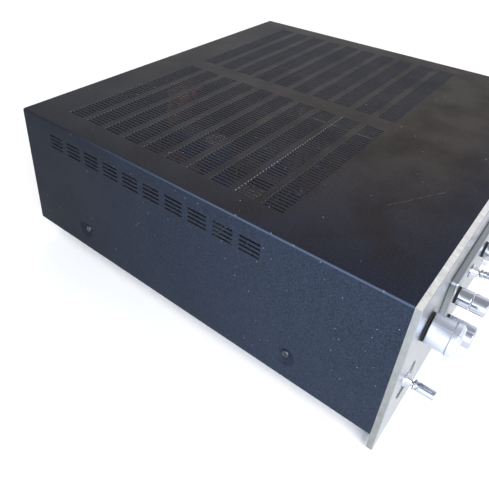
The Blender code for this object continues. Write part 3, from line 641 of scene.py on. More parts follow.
# node, seed of its layout, height of its legs; the parts stand on a grid of PITCH_X by PITCH_Y
BOARDS = (("amplifier_board", 11, 0.0074), ("tuner_board", 29, 0.0174))
LAMINATE, PITCH_X, PITCH_Y = 0.0016, 0.0118, 0.0130
RESISTOR = soften([(0, -0.0038), (0.0012, -0.0038, 0.0005), (0.0012, -0.0024, 0.0003), (0.0010, -0.0020),
                   (0.0010, 0.0020), (0.0012, 0.0024, 0.0003), (0.0012, 0.0038, 0.0005), (0, 0.0038)])
for node, seed, leg in BOARDS:
    random.seed(seed)
    low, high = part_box(node)
    deck = low.z + leg
    top = deck + LAMINATE
    sheet = bar((low.x, low.y, deck), (high.x, high.y, top), 0.0003)
    piece(node + "_laminate", sheet, phenolic, [node])
    legs = bmesh.new()
    for x in (low.x + 0.006, high.x - 0.006):
        for y in (low.y + 0.006, high.y - 0.006):
            turn(legs, [(0, low.z), (0.0030, low.z), (0.0030, deck), (0, deck)], (x, y, 0), "Z", 12)
            turn(legs, soften([(0, top + 0.0018), (0.0028, top + 0.0018, 0.0010), (0.0028, top), (0, top)]),
                 (x, y, 0), "Z", 20)
    piece(node + "_legs", legs, zinc)
    cans, tops, resistors, chips, films, shields = (bmesh.new() for k in range(6))
    columns = int((high.x - low.x - 0.020) / PITCH_X)
    rows = int((high.y - low.y - 0.020) / PITCH_Y)
    for i in range(columns):
        for j in range(rows):
            x = low.x + 0.014 + PITCH_X * i + random.uniform(-0.001, 0.001)
            y = low.y + 0.014 + PITCH_Y * j + random.uniform(-0.001, 0.001)
            z = top
            kind = random.choice(("can", "resistor", "resistor", "chip", "film", "shield", "gap"))
            if kind == "can":
                r, tall = random.choice(((0.0032, 0.011), (0.0042, 0.013), (0.0050, 0.018)))
                turn(cans, soften([(0, z), (r, z), (r, z + tall, 0.0008), (r - 0.0012, z + tall),
                                   (0, z + tall - 0.0003)]), (x, y, 0), "Z", 24)
                turn(tops, [(0, z + tall + 0.0001), (r - 0.0013, z + tall + 0.0001),
                            (r - 0.0013, z + tall - 0.001),
                            (0, z + tall - 0.001)], (x, y, 0), "Z", 24)
            elif kind == "resistor":
                for k in (-0.0026, 0.0026):
                    turn(resistors, RESISTOR, (x, y + k, z + 0.0016), "X", 12)
            elif kind == "chip":
                block(chips, (x - 0.0022, y - 0.0018, z + 0.004), (x + 0.0022, y + 0.0018, z + 0.0092),
                      0.0006)
            elif kind == "film":
                block(films, (x - 0.0045, y - 0.0018, z + 0.001), (x + 0.0045, y + 0.0018, z + 0.0085),
                      0.0014)
            elif kind == "shield" and node == "tuner_board":
                block(shields, (x - 0.0050, y - 0.0050, z), (x + 0.0050, y + 0.0050, z + 0.014), 0.0006)
    if node == "tuner_board":
        for y in (low.y + 0.062, low.y + 0.118):
            block(shields, (low.x + 0.006, y, top), (high.x - 0.012, y + 0.0008, deck + 0.040), 0.0002)
        block(shields, (low.x + 0.055, low.y + 0.020, top), (low.x + 0.090, low.y + 0.058, deck + 0.030),
              0.0010)
    else:
        block(shields, (low.x + 0.006, high.y - 0.010, top),
              (high.x - 0.006, high.y - 0.0088, deck + 0.022), 0.0002)
    for suffix, bm, finish, slot in (
            ("capacitors", cans, sleeve, "blue_sleeve"), ("capacitor_tops", tops, can_metal, None),
            ("resistors", resistors, lacquer, None), ("transistors", chips, epoxy, "black_plastic"),
            ("film_capacitors", films, film, None), ("shields", shields, tin, "zinc_plated_steel")):
        piece(node + "_" + suffix, bm, finish)

# A small upright board stands on spacers off the rear panel.  It holds the two output chokes,
# wound in bright copper, over a row of orange fusible resistors.
CHOKE_LOW, CHOKE_HIGH = Vector((-0.034, 0.1800, 0.070)), Vector((0.018, 0.1816, 0.1185))
SPACER_R, SPACER_END = 0.0025, 0.1990
pale_phenolic = surface("pale_phenolic_board", "#a87748", 0.0, 0.5, 1.5, 0.02, (0.42, 0.6),
                        ("#9b6c3f", "#b98752"))
choke_board = bar(CHOKE_LOW, CHOKE_HIGH, 0.0003)
piece("output_choke_board", choke_board, pale_phenolic)
spacers, chokes, fusibles = bmesh.new(), bmesh.new(), bmesh.new()
for x in (CHOKE_LOW.x + 0.005, CHOKE_HIGH.x - 0.005):
    for z in (CHOKE_LOW.z + 0.005, CHOKE_HIGH.z - 0.005):
        turn(spacers, [(0, CHOKE_HIGH.y), (SPACER_R, CHOKE_HIGH.y), (SPACER_R, SPACER_END),
                       (0, SPACER_END)], (x, 0, z), "Y", 16)
piece("output_choke_spacers", spacers, zinc)
for x in (CHOKE_LOW.x + 0.015, CHOKE_HIGH.x - 0.014):
    profile = [(0.0030, -0.0090)]
    for k in range(9):
        profile += [(0.0058, -0.0088 + 0.002 * k), (0.0066, -0.0080 + 0.002 * k),
                    (0.0066, -0.0076 + 0.002 * k)]
    profile += [(0.0058, 0.0090), (0.0030, 0.0090), (0.0030, -0.0090)]
    turn(chokes, profile, (x, CHOKE_LOW.y - 0.0068, 0.106), "X", 32)
FUSIBLE = soften([(0, -0.0055), (0.0024, -0.0055, 0.0008), (0.0024, 0.0055, 0.0008), (0, 0.0055)])
for k in range(6):
    turn(fusibles, FUSIBLE,
         (CHOKE_LOW.x + 0.008 + 0.0072 * k, CHOKE_LOW.y - 0.0026, 0.086), "Z", 20)
bright_copper = surface("varnished_copper_choke_wire", "#ec9650", 0.2, 0.32, 0.8, 0.03, (0.25, 0.42),
                        ("#dc843f", "#f6a862"), stretch=(0.3, 1, 1))
fired = surface("orange_fusible_resistor_lacquer", "#dd7a34", 0.0, 0.4, 1.2, 0.03, (0.32, 0.5),
                ("#cf6c2a", "#ea8a45"))
piece("output_chokes", chokes, bright_copper)
piece("output_fusible_resistors", fusibles, fired)


# ---- Dial drive -----------------------------------------------------------------------------
# The tuning shaft's flywheel drives a moulded drum on the tuning capacitor's spindle and a red
# pointer on a rail.  The scale is a painted plate with plain printed frequency numbers.
scale_low, scale_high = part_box("dial_scale")
scale_paint = surface("screen_printed_dial_plate", "#10262b", 0.0, 0.42, 0.6, 0.01, (0.36, 0.48),
                      ("#0e2227", "#13292f"))
dial_ink = surface("pale_dial_ink", "#cfe0d6", 0.0, 0.5, 0.4, 0.005, (0.45, 0.6), ("#c6d8cd", "#d9e8df"))
piece("dial_scale_plate", bar(scale_low, scale_high, 0.0002), scale_paint, ["dial_scale"])


def lettering(words, size, spot, thick=0.00006):
    """Flat printed characters that face -Y, as a mesh centred on a spot."""
    curve = bpy.data.curves.new("print", "FONT")
    curve.body = words
    curve.size = size
    curve.extrude = thick / 2
    curve.align_x = "CENTER"
    curve.align_y = "CENTER"
    holder = bpy.data.objects.new("print", curve)
    bpy.context.scene.collection.objects.link(holder)
    mesh = bpy.data.meshes.new_from_object(holder.evaluated_get(bpy.context.evaluated_depsgraph_get()))
    mesh.transform(Matrix.Translation(spot) @ Matrix.Rotation(math.radians(90), 4, "X"))
    bpy.data.objects.remove(holder, do_unlink=True)
    return mesh


window_low, window_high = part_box("dial_window")
print_y = scale_low.y - 0.00005
PRINT_HALF, TICKS = 0.00003, 100
scale_long = joints["pointer_travel"]["range_m"][1] * 2 + 0.008
dial_middle = (window_low.x + window_high.x) / 2
marks = bmesh.new()
for row, numbers in enumerate((("88", "90", "92", "94", "96", "98", "100", "102", "104", "106", "108"),
                               ("54", "60", "70", "80", "100", "120", "140", "160"))):
    z = window_high.z - 0.0125 - 0.019 * row
    for k, number in enumerate(numbers):
        x = dial_middle + scale_long * (k / (len(numbers) - 1) - 0.5)
        marks.from_mesh(lettering(number, 0.0048, (x, print_y, z + 0.0048)))
    for k in range(TICKS + 1):
        x = dial_middle + scale_long * (k / TICKS - 0.5)
        tall = 0.0030 if k % 10 == 0 else 0.0022 if k % 5 == 0 else 0.0014
        block(marks, (x - 0.00010, print_y - PRINT_HALF, z - tall), (x + 0.00010, print_y + PRINT_HALF, z))
for z in (window_high.z - 0.0125, window_high.z - 0.0315, window_low.z + 0.0070):
    block(marks, (dial_middle - 0.060, print_y - PRINT_HALF, z - 0.00012),
          (dial_middle + 0.060, print_y + PRINT_HALF, z + 0.00012))
piece("dial_scale_print", marks, dial_ink)

red = surface("moulded_red_styrene", "#b3201a", 0.0, 0.3, 0.5, 0.01, (0.24, 0.38), ("#a81b16", "#bf261f"))
point_low, point_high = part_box("dial_pointer")
needle = bmesh.new()
middle_x = (point_low.x + point_high.x) / 2
block(needle, (middle_x - 0.0005, point_low.y, point_low.z),
      (middle_x + 0.0005, point_low.y + 0.0008, point_high.z), 0.0002)
block(needle, (point_low.x, point_low.y + 0.0002, point_high.z - 0.0015),
      (point_high.x, point_high.y, point_high.z), 0.0003)
block(needle, (point_low.x, point_high.y - 0.0015, point_high.z - 0.0070),
      (point_high.x, point_high.y, point_high.z), 0.0003)
piece("dial_pointer_needle", needle, red, ["dial_pointer"], body="pointer")

abs_black = surface("moulded_black_abs", "#1a1a1c", 0.0, 0.4, 0.45, 0.02, (0.34, 0.5),
                    ("#161618", "#202023"))


def front_of(node):
    """Point on a node's own Y axis at its foremost face."""
    low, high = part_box(node)
    return Vector(((low.x + high.x) / 2, low.y, (low.z + high.z) / 2))


drum_at = front_of("dial_drum")
drum_low, drum_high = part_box("dial_drum")
drum_r = (drum_high.x - drum_low.x) / 2
drum = lathe([(0.0032, 0.0), (0.008, 0.0, 0.0004), (0.008, 0.002, 0.0006), (drum_r - 0.004, 0.002, 0.0006),
              (drum_r - 0.004, 0, 0.0004), (drum_r, 0, 0.0003), (drum_r, 0.0012, 0.0003),
              (drum_r - 0.0015, 0.0022, 0.0003), (drum_r - 0.0015, 0.0038, 0.0003),
              (drum_r, 0.0048, 0.0003), (drum_r, 0.0060, 0.0003), (drum_r - 0.004, 0.0060, 0.0004),
              (drum_r - 0.004, 0.004, 0.0006), (0.008, 0.004, 0.0006),
              (0.008, 0.006, 0.0004), (0.0032, 0.006)], steps=96)
piece("dial_drum_moulding", drum, abs_black, ["dial_drum"], body="drum", at=drum_at)

rotor_low, rotor_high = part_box("tuning_capacitor_rotor")
rotor = lathe([(0, 0), (0.0030, 0, 0.0003), (0.0030, rotor_high.y - rotor_low.y, 0.0003),
               (0, rotor_high.y - rotor_low.y)], steps=32)
VANE_R, VANE_THICK = 0.0150, 0.0005
for group in range(4):
    for leaf in range(3):
        y = 0.0132 + group * 0.0105 + leaf * 0.0024
        outline = [VANE_R * Vector((math.cos(math.radians(a)), math.sin(math.radians(a))))
                   for a in range(0, 181, 6)]
        slab([(outline, y), (outline, y + VANE_THICK)], rotor)
piece("tuning_capacitor_rotor_vanes", rotor, can_metal, ["tuning_capacitor_rotor"],
      body="drum",
      at=Vector((drum_at.x, rotor_low.y, drum_at.z)))
frame["nodes"]["tuning_capacitor_frame"].data.materials[0] = zinc

wheel_at = front_of("tuning_flywheel")
wheel_low, wheel_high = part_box("tuning_flywheel")
wheel_r, wheel_deep = (wheel_high.x - wheel_low.x) / 2, wheel_high.y - wheel_low.y
wheel = lathe([(0.0031, 0), (0.0080, 0, 0.0003), (0.0080, 0.0012, 0.0003),
               (wheel_r - 0.005, 0.0012, 0.0003),
               (wheel_r - 0.005, 0, 0.0003), (wheel_r, 0, 0.0005), (wheel_r, 0.0090, 0.0005),
               (wheel_r - 0.005, 0.0090, 0.0004), (wheel_r - 0.005, 0.0040, 0.0006),
               (0.0080, 0.0040, 0.0006), (0.0080, wheel_deep, 0.0004), (0.0031, wheel_deep)], steps=96)
piece("tuning_flywheel_casting", wheel, zinc, ["tuning_flywheel"], body="tuning",
      at=wheel_at)


# ---- Rotary controls behind the panel -------------------------------------------------------
# Potentiometers and switches: a nut and threaded bushing at the panel, a crimped zinc-plated
# can behind, and a phenolic wafer with solder lugs.
CONTROLS = ("selector_switch", "bass_control", "treble_control", "mode_switch", "volume_control",
            "function_control")
for node in CONTROLS:
    low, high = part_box(node)
    spot, radius, deep = front_of(node), (high.x - low.x) / 2, high.y - low.y
    body = lathe([(0.0032, 0), (0.0056, 0), (0.0056, 0.0018, 0.0002), (radius - 0.001, 0.0018, 0.0008),
                  (radius, 0.0030, 0.0004), (radius, deep - 0.006, 0.0006),
                  (radius - 0.0012, deep - 0.0055),
                  (radius - 0.0012, deep, 0.0008), (0.0034, deep), (0.0034, deep - 0.004),
                  (0.0032, deep - 0.004)], steps=64)
    piece(node + "_can", body, zinc, [node], at=spot)
    lugs = bmesh.new()
    for k in range(5):
        bearing = math.radians(200 + 35 * k)
        lug = bar((radius - 0.001, deep - 0.0090, -0.0011), (radius + 0.0042, deep - 0.0086, 0.0011),
                  0.0001)
        join(lugs, lug, Matrix.Translation(spot) @ Matrix.Rotation(-bearing, 4, "Y"))
    piece(node + "_lugs", lugs, tin)


# ---- Front panel ----------------------------------------------------------------------------
# A 5 mm plate of aluminium, brushed lengthwise and clear anodised.  Its ends are sawn and left
# dull, and drawn darker as painted shade; the front edges are chamfered bright, and a shallow dish
# is turned round the power switch.
def box_outline(low, high, inset, radius, steps=5):
    """Front outline of a box, drawn in by `inset` and with rounded corners."""
    x0, x1, z0, z1 = low.x + inset, high.x - inset, low.z + inset, high.z - inset
    return soften([(x0, z0, radius), (x1, z0, radius), (x1, z1, radius), (x0, z1, radius)], True, steps)


def hole(x, z, radius, front, back, flare=0.0003):
    """Cutter for a round hole with a small countersink at its front face."""
    return turn(bmesh.new(), [(0, front - 0.001), (radius + flare + 0.001, front - 0.001),
                              (radius, front + flare),
                              (radius, back + 0.001), (0, back + 0.001)], (x, 0, z), steps=48)


# Brushed aluminium: long fine scratches along X, drawn coarser than the real 0.05 mm grit lines
# so that they show; the sheen stretches across them.
brushed = surface("brushed_anodised_aluminium", "#a6a9ac", 1.0, 0.34, 0.30, 0.006, (0.28, 0.42),
                  ("#9fa2a5", "#acafb2"), stretch=(0.015, 1, 1))
# Sawn aluminium: the plate's cut ends, dull, with saw marks across and a little grime.
sawn = surface("sawn_aluminium_edge", "#dcdedd", 1.0, 0.5, 2.4, 0.03, (0.45, 0.65),
               ("#c2c4bf", "#f0f2f3"), stretch=(1, 0.6, 1))
# Its short ends, which face sideways, take a darker, blotchy grey copy of the edge finish: painted shade.
end_shade = surface("aluminium_end_painted_shade", "#9a9c99", 1.0, 0.6, 4.0, 0.04, (0.52, 0.72),
                 ("#7c7e7a", "#b4b6b4"))

plate_low, plate_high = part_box("faceplate")
CHAMFER, RIM = 0.0005, 0.0002
plate = slab([
    (box_outline(plate_low, plate_high, 0, 0.0004, 2), plate_high.y),
    (box_outline(plate_low, plate_high, 0, 0.0004, 2), plate_low.y + CHAMFER),
    (box_outline(plate_low, plate_high, CHAMFER, 0.0002, 2), plate_low.y)])
power_at = Vector(joints["power_flip"]["pos_m"])
tone_at = Vector(joints["tone_flip"]["pos_m"])
DISH_R, DISH_DEEP = 0.0158, 0.0012
SHAFT_HOLE_R, TOGGLE_HOLE_R, JACK_HOLE_R = 0.0034, 0.0052, 0.0050
dish = turn(bmesh.new(), [
    (0, -0.001), (DISH_R + 0.0003, -0.001), (DISH_R, 0), (DISH_R - 0.0003, 0.0003),
    (DISH_R - 0.0003, DISH_DEEP + 0.0007), (DISH_R - 0.0010, DISH_DEEP + 0.0007),
    (DISH_R - 0.0010, DISH_DEEP),
    (0, DISH_DEEP)], (power_at.x, plate_low.y, power_at.z), steps=96)
jack_at = front_of("headphone_jack")
shaft_spots = [front_of(node) for node in CONTROLS] + [front_of("tuning_flywheel")]
bezel_low, bezel_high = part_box("control_bezel")


def panel_cutters(front, back, spots, rounds):
    """Cutters for the shafts' holes and for other round holes, each given as (spot, radius)."""
    return [hole(p.x, p.z, radius, front, back) for p,
            radius in [(p, SHAFT_HOLE_R) for p in spots] + rounds]


# the window and the buttons go through both plates, which lie between these two places along Y
THROUGH = (-0.20, -0.17)
window_cut = slab([(box_outline(window_low, window_high, -0.0003, 0.0010), y) for y in THROUGH])
button_cuts = []
for node in ("push_button_1", "push_button_2"):
    low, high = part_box(node)
    button_cuts.append(slab([(box_outline(low, high, -0.0004, 0.0008), y) for y in THROUGH]))
plate = carve(plate, dish, window_cut.copy(), *button_cuts, *panel_cutters(
    plate_low.y, plate_high.y, shaft_spots,
    [(power_at, TOGGLE_HOLE_R), (tone_at, TOGGLE_HOLE_R), (jack_at, JACK_HOLE_R)]))
panel = piece("faceplate_brushed", plate, [brushed, sawn, end_shade], ["faceplate"],
              sharp=25)
for face in panel.data.polygons:
    on_end = abs(face.center.x) > plate_high.x - RIM
    on_long_edge = not plate_low.z + RIM < face.center.z < plate_high.z - RIM
    # faces that look sideways take the darker end finish, painted shade; the others the sawn finish
    edge = 2 if abs(face.normal.x) > 0.5 else 1
    face.material_index = edge if (on_end or on_long_edge) and abs(face.normal.y) < 0.3 else 0

# Plain printed ticks round the knobs in dark grey ink; no words.
ink = surface("dark_grey_panel_ink", "#2c2d30", 0.0, 0.5, 0.4, 0.004, (0.45, 0.6), ("#27282b", "#333438"))


def ticks(bm, spot, front, radius, angles, tall=0.0022, wide=0.0004):
    """Add radial ticks on a face whose front is at `front`; angles are in degrees from straight up."""
    for angle in angles:
        tick = bar((-wide / 2, front - 0.00004, radius), (wide / 2, front + 0.00002, radius + tall))
        swing = Matrix.Rotation(math.radians(angle), 4, "Y")
        join(bm, tick, Matrix.Translation((spot.x, 0, spot.z)) @ swing)


volume_at, function_at, selector_at, tuning_at, mode_at = (
    front_of(name + "_knob") for name in ("volume", "function", "selector", "tuning", "mode"))
panel_print = bmesh.new()
ticks(panel_print, volume_at, plate_low.y, 0.0178, range(-150, 151, 30))
ticks(panel_print, function_at, plate_low.y, 0.0118, range(-60, 91, 30))
ticks(panel_print, selector_at, plate_low.y, 0.0134, range(-89, 62, 30))
piece("faceplate_ticks", panel_print, ink)


# ---- Raised control panel -------------------------------------------------------------------
# A second brushed aluminium plate stands on a shadow gap in front of the first.  It has rounded
# corners, a softly broken front edge and a fine line scored round its side just behind it.
SCORE = 0.0012
BEZEL_R = 0.0025


def bezel_ring(inset):
    """Outline of the raised panel, drawn in by `inset`."""
    return box_outline(bezel_low, bezel_high, inset, max(BEZEL_R - inset, 0.0006), 6)


bezel = slab([
    (bezel_ring(0.0010), bezel_high.y), (bezel_ring(0.0010), bezel_high.y - 0.0007),
    (bezel_ring(0.0001), bezel_high.y - 0.0007), (bezel_ring(0.0), bezel_high.y - 0.0008),
    (bezel_ring(0.0), bezel_low.y + SCORE + 0.00035), (bezel_ring(0.00025), bezel_low.y + SCORE + 0.00020),
    (bezel_ring(0.00025), bezel_low.y + SCORE + 0.00005), (bezel_ring(0.0), bezel_low.y + SCORE - 0.00010),
    (bezel_ring(0.0), bezel_low.y + 0.0006), (bezel_ring(0.00018), bezel_low.y + 0.00018),
    (bezel_ring(0.0006), bezel_low.y)])
bezel_spots = [front_of(n) for n in ("bass_control", "treble_control", "mode_switch", "tuning_flywheel")]
window_flare = slab([
    (box_outline(window_low, window_high, -wider, 0.0010 + wider), bezel_low.y + y)
    for wider, y in ((0.0013, -0.0005), (0.0004, 0.0004), (0.0003, 0.0005))])
bezel = carve(bezel, window_cut, window_flare, *panel_cutters(
    bezel_low.y, bezel_high.y, bezel_spots, [(tone_at, TOGGLE_HOLE_R)]))
piece("control_bezel_brushed", bezel, brushed, ["control_bezel"], sharp=25)
bezel_print = bmesh.new()
for node in ("bass_control", "treble_control"):
    ticks(bezel_print, front_of(node), bezel_low.y, 0.0082, range(-150, 151, 30), 0.0014, 0.0003)
ticks(bezel_print, mode_at, bezel_low.y, 0.0100, range(-60, 61, 60), 0.0016, 0.0003)
piece("control_bezel_ticks", bezel_print, ink)

# Cast acrylic: clear and glossy, with the faintest polishing haze.
acrylic, tree, shader = new_material("cast_clear_acrylic", "#f3f8f6", 0.0, 0.03)
relief(tree, shader, 9.0, 0.004, (0.02, 0.06))
shader.inputs["IOR"].default_value = 1.49
shader.inputs["Transmission Weight"].default_value = 1.0
piece("dial_window_pane", bar(window_low, window_high, 0.0003), acrylic,
      ["dial_window"], sharp=5)


# ---- Metal knobs ----------------------------------------------------------------------------
# Knobs are turned from solid aluminium, faced with fine rings and clear anodised; the small
# tone and mode knobs are turned brass, polished and chrome plated.
def turning_marks(tree, shader, size, depth, rough):
    """Rings left by the turning tool, `size` mm apart, round the part's own Y axis."""
    where = add(tree, "ShaderNodeTexCoord")
    parts = add(tree, "ShaderNodeSeparateXYZ", links={0: where.outputs["Object"]})
    flat = add(tree, "ShaderNodeCombineXYZ", links={"X": parts.outputs["X"], "Z": parts.outputs["Z"]})
    radius = add(tree, "ShaderNodeVectorMath", {"operation": "LENGTH"}, {0: flat.outputs[0]})
    rings = add(tree, "ShaderNodeCombineXYZ", links={"X": radius.outputs["Value"], "Y": parts.outputs["Y"]})
    marks = noise(tree, rings.outputs[0], size, 3.0)
    bump = add(tree, "ShaderNodeBump", links={"Height": marks, "Distance": depth / 1000})
    tree.links.new(bump.outputs[0], shader.inputs["Normal"])
    smear = noise(tree, where.outputs["Object"], 5.0, 3.0)
    tree.links.new(ramp(tree, smear, 0.3, 0.7, *rough), shader.inputs["Roughness"])
    tangent = add(tree, "ShaderNodeTangent", {"direction_type": "RADIAL", "axis": "Y"})
    tree.links.new(tangent.outputs[0], shader.inputs["Tangent"])
    shader.inputs["Anisotropic"].default_value = 0.45


# Turned aluminium: pale bluish silver with a broad soft sheen along the knob's length.
turned, tree, shader = new_material("turned_anodised_aluminium", "#d3d8e2", 1.0, 0.36)
turning_marks(tree, shader, 0.18, 0.004, (0.32, 0.40))
# Chrome plate: sharp dark and light bands, with light finger haze.
chrome, tree, shader = new_material("chrome_plated_brass", "#bfc3cb", 1.0, 0.09)
turning_marks(tree, shader, 0.25, 0.0008, (0.06, 0.15))


def groove(bearing, radius, depth, width, start, end):
    """Cutter for a straight groove along a knob's skirt; bearing is in degrees from +X to +Z."""
    tool = bar((radius - depth, start, -width / 2), (radius + 0.003, end, width / 2))
    tool.transform(Matrix.Rotation(-math.radians(bearing), 4, "Y"))
    return tool


# Large selector knob: a skirt, a step near its front, a broad chamfer and a dished face, with
# the pointer groove milled along the whole skirt.
selector = lathe([
    (0, 0.0008), (0.0082, 0.0008, 0.0003), (0.0090, 0.0, 0.0003), (0.0098, 0.0, 0.0004),
    (0.0120, 0.0018, 0.0006),
    (0.0121, 0.0054, 0.0004), (0.0114, 0.0062, 0.0003), (0.0113, 0.0188, 0.0005), (0.0106, 0.0195, 0.0003),
    (0.0030, 0.0195), (0.0030, 0.0386), (0, 0.0388)], steps=128)
selector = carve(selector, groove(119, 0.0118, 0.0010, 0.0008, -0.001, 0.0183))
piece("selector_knob_turned", selector, turned, ["selector_knob"], body="selector",
      at=selector_at, sharp=24)

for name in ("bass", "treble"):
    rear_at, fore_at = front_of(name + "_knob_rear"), front_of(name + "_knob_front")
    ring = lathe([
        (0.0018, 0), (0.0063, 0, 0.0002), (0.0068, 0.0005, 0.0002), (0.0068, 0.0088, 0.0002),
        (0.0065, 0.0091),
        (0.0030, 0.0091), (0.0030, 0.0309), (0.0018, 0.0309)], steps=96)
    ring = carve(ring, groove(138, 0.0068, 0.0003, 0.0004, 0.0008, 0.0090))
    piece(name + "_knob_rear_chrome", ring, chrome, [name + "_knob_rear"],
          body=name + "_rear", at=rear_at, sharp=24)
    cap = lathe([
        (0, 0.0005), (0.0050, 0.0005, 0.0002), (0.0055, 0, 0.0002), (0.0062, 0, 0.0002),
        (0.0068, 0.0006, 0.0002),
        (0.0068, 0.0100, 0.0002), (0.0064, 0.0104, 0.0002), (0.0016, 0.0104), (0.0016, 0.0447),
        (0, 0.0447)], steps=96)
    cap = carve(cap, groove(138, 0.0068, 0.0003, 0.0004, 0.0010, 0.0098))
    piece(name + "_knob_front_chrome", cap, chrome, [name + "_knob_front"],
          body=name + "_front", at=fore_at, sharp=24)

mode = lathe([
    (0, 0.0006), (0.0068, 0.0006, 0.0003), (0.0074, 0, 0.0003), (0.0080, 0, 0.0003),
    (0.0088, 0.0008, 0.0003),
    (0.0088, 0.0192, 0.0003), (0.0085, 0.0195), (0.0030, 0.0195), (0.0030, 0.0433), (0, 0.0433)], steps=96)
mode = carve(mode, groove(90, 0.0088, 0.0003, 0.0005, -0.001, 0.0190))
piece("mode_knob_chrome", mode, chrome, ["mode_knob"], body="mode", at=mode_at, sharp=24)

tuning_low, tuning_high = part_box("tuning_knob")
tuning_deep = tuning_high.y - tuning_low.y
tuning = lathe([
    (0, 0.0010), (0.0148, 0.0010, 0.0004), (0.0158, 0.0, 0.0004), (0.0168, 0.0, 0.0004),
    (0.0190, 0.0016, 0.0006),
    (0.0195, 0.0030, 0.0004), (0.0195, 0.0172, 0.0004), (0.0187, 0.0182, 0.0003),
    (0.0030, 0.0182), (0.0030, tuning_deep), (0, tuning_deep)], steps=128)
dimple_cut = lathe([(0, 0.0022), (0.0025, 0.0016, 0.001), (0.0042, 0.0008), (0.0050, -0.0005),
                    (0, -0.0005)], (0.0085, 0, -0.0055), steps=48)
piece("tuning_knob_turned", carve(tuning, dimple_cut), turned, ["tuning_knob"],
      body="tuning", at=tuning_at, sharp=24)

for name, spot in (("volume", volume_at), ("function", function_at)):
    low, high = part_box(name + "_knob")
    r, deep = (high.x - low.x) / 2, high.y - low.y
    knob = lathe([
        (0, 0.0008), (r - 0.0038, 0.0008, 0.0003), (r - 0.0030, 0, 0.0003), (r - 0.0020, 0, 0.0004),
        (r, 0.0018, 0.0005),
        (r, 0.0185, 0.0004), (r - 0.0008, 0.0195, 0.0003), (0.0030, 0.0195), (0.0030, deep),
        (0, deep)], steps=128)
    knob = carve(knob, groove(90, r, 0.0006, 0.0008, -0.001, 0.0183))
    piece(name + "_knob_turned", knob, turned, [name + "_knob"], body=name, at=spot,
          sharp=24)


# A black felt washer lies behind each knob and keeps it off the panel; its black stands in for
# the shadow in the gap at the knob's foot: painted shade.
shadow_gap_felt = surface("black_felt_painted_shadow_gap", "#101012", 0.0, 0.95, 0.3, 0.05, (0.88, 1.0), ("#0b0b0d", "#17171a"))
# name, spot, place of the face it lies on, thickness, radius
SHADOW_WASHERS = (("selector", selector_at, plate_low.y, 0.0016, 0.0108),
           ("mode", mode_at, bezel_low.y, 0.0014, 0.0085),
           ("bass", front_of("bass_control"), bezel_low.y, 0.0014, 0.0066),
           ("treble", front_of("treble_control"), bezel_low.y, 0.0014, 0.0066),
           ("tuning", tuning_at, bezel_low.y, 0.0014, 0.0185),
           ("volume", volume_at, plate_low.y, 0.0016, 0.0156),
           ("function", function_at, plate_low.y, 0.0020, 0.0096))
for name, spot, face_y, thick, r in SHADOW_WASHERS:
    washer = lathe([(0.0032, 0), (r, 0, 0.0003), (r, thick), (0.0032, thick)], steps=64)
    piece(name + "_knob_shadow_washer", washer, shadow_gap_felt, at=(spot.x, face_y - thick, spot.z))


# ---- Toggle switches ------------------------------------------------------------------------
# Each has a cone-nosed bushing, pressed brass chrome plated, and a lever with a collar and a
# plain cylindrical tip.  The body behind the panel is a moulded block.
# name, pivot, tilt of the lever at rest in degrees, radius of its tip, reach from the pivot
TOGGLES = (("power", power_at, 0.0, 0.0037, 0.0206), ("tone", tone_at, 10.0, 0.0027, 0.0146))
for name, pivot, tilt, tip_r, reach in TOGGLES:
    low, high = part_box(name + "_toggle_body")
    bush = lathe([
        (0.0025, 0), (0.0031, 0, 0.0002), (0.0034, 0.0006, 0.0003), (0.0048, 0.0038, 0.0008),
        (0.0056, 0.0044, 0.0003),
        (0.0057, 0.0052), (0.0046, 0.0052), (0.0046, 0.0170), (0.0025, 0.0170)], steps=64)
    piece(name + "_toggle_bushing", bush, chrome, at=front_of(name + "_toggle_body"),
          sharp=24)
    case = bar((low.x, high.y - 0.0250, low.z), (high.x, high.y, high.z), 0.0008)
    piece(name + "_toggle_case", case, abs_black, [name + "_toggle_body"])
    k = tip_r / 0.0033
    lever = lathe([
        (0, 0), (0.0015, 0), (0.0015, 0.0049), (0.0028 * k, 0.0051, 0.0002), (0.0037 * k, 0.0056, 0.0003),
        (0.0037 * k, 0.0071, 0.0003), (0.0029 * k, 0.0076, 0.0002), (0.0029 * k, 0.0080, 0.0002),
        (tip_r, 0.0083, 0.0002), (tip_r, reach, 0.0004), (0, reach)], steps=64, sign=-1)
    piece(name + "_toggle_lever_chrome", lever, chrome, [name + "_toggle_lever"],
          body=name + "_lever",
          at=Matrix.Translation(pivot) @ Matrix.Rotation(math.radians(-tilt), 4, "X"), sharp=24)


# ---- Push buttons and headphone jack --------------------------------------------------------
# Two small rectangular aluminium caps slide in the lower part of the panel; beside them is a
# 6.35 mm jack with a notched ring nut, plated, and a moulded black sleeve behind it.
for k in (1, 2):
    low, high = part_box("push_button_%d" % k)
    cap = slab([(box_outline(low, high, i, 0.0008), y) for i, y in (
        (0.0008, low.y + 0.0003), (0.0007, low.y + 0.0001), (0.0004, low.y), (0.0001, low.y + 0.0002),
        (0.0, low.y + 0.0005), (0.0, high.y))])
    piece("push_button_%d_cap" % k, cap, turned, ["push_button_%d" % k],
          body="button_%d" % k)

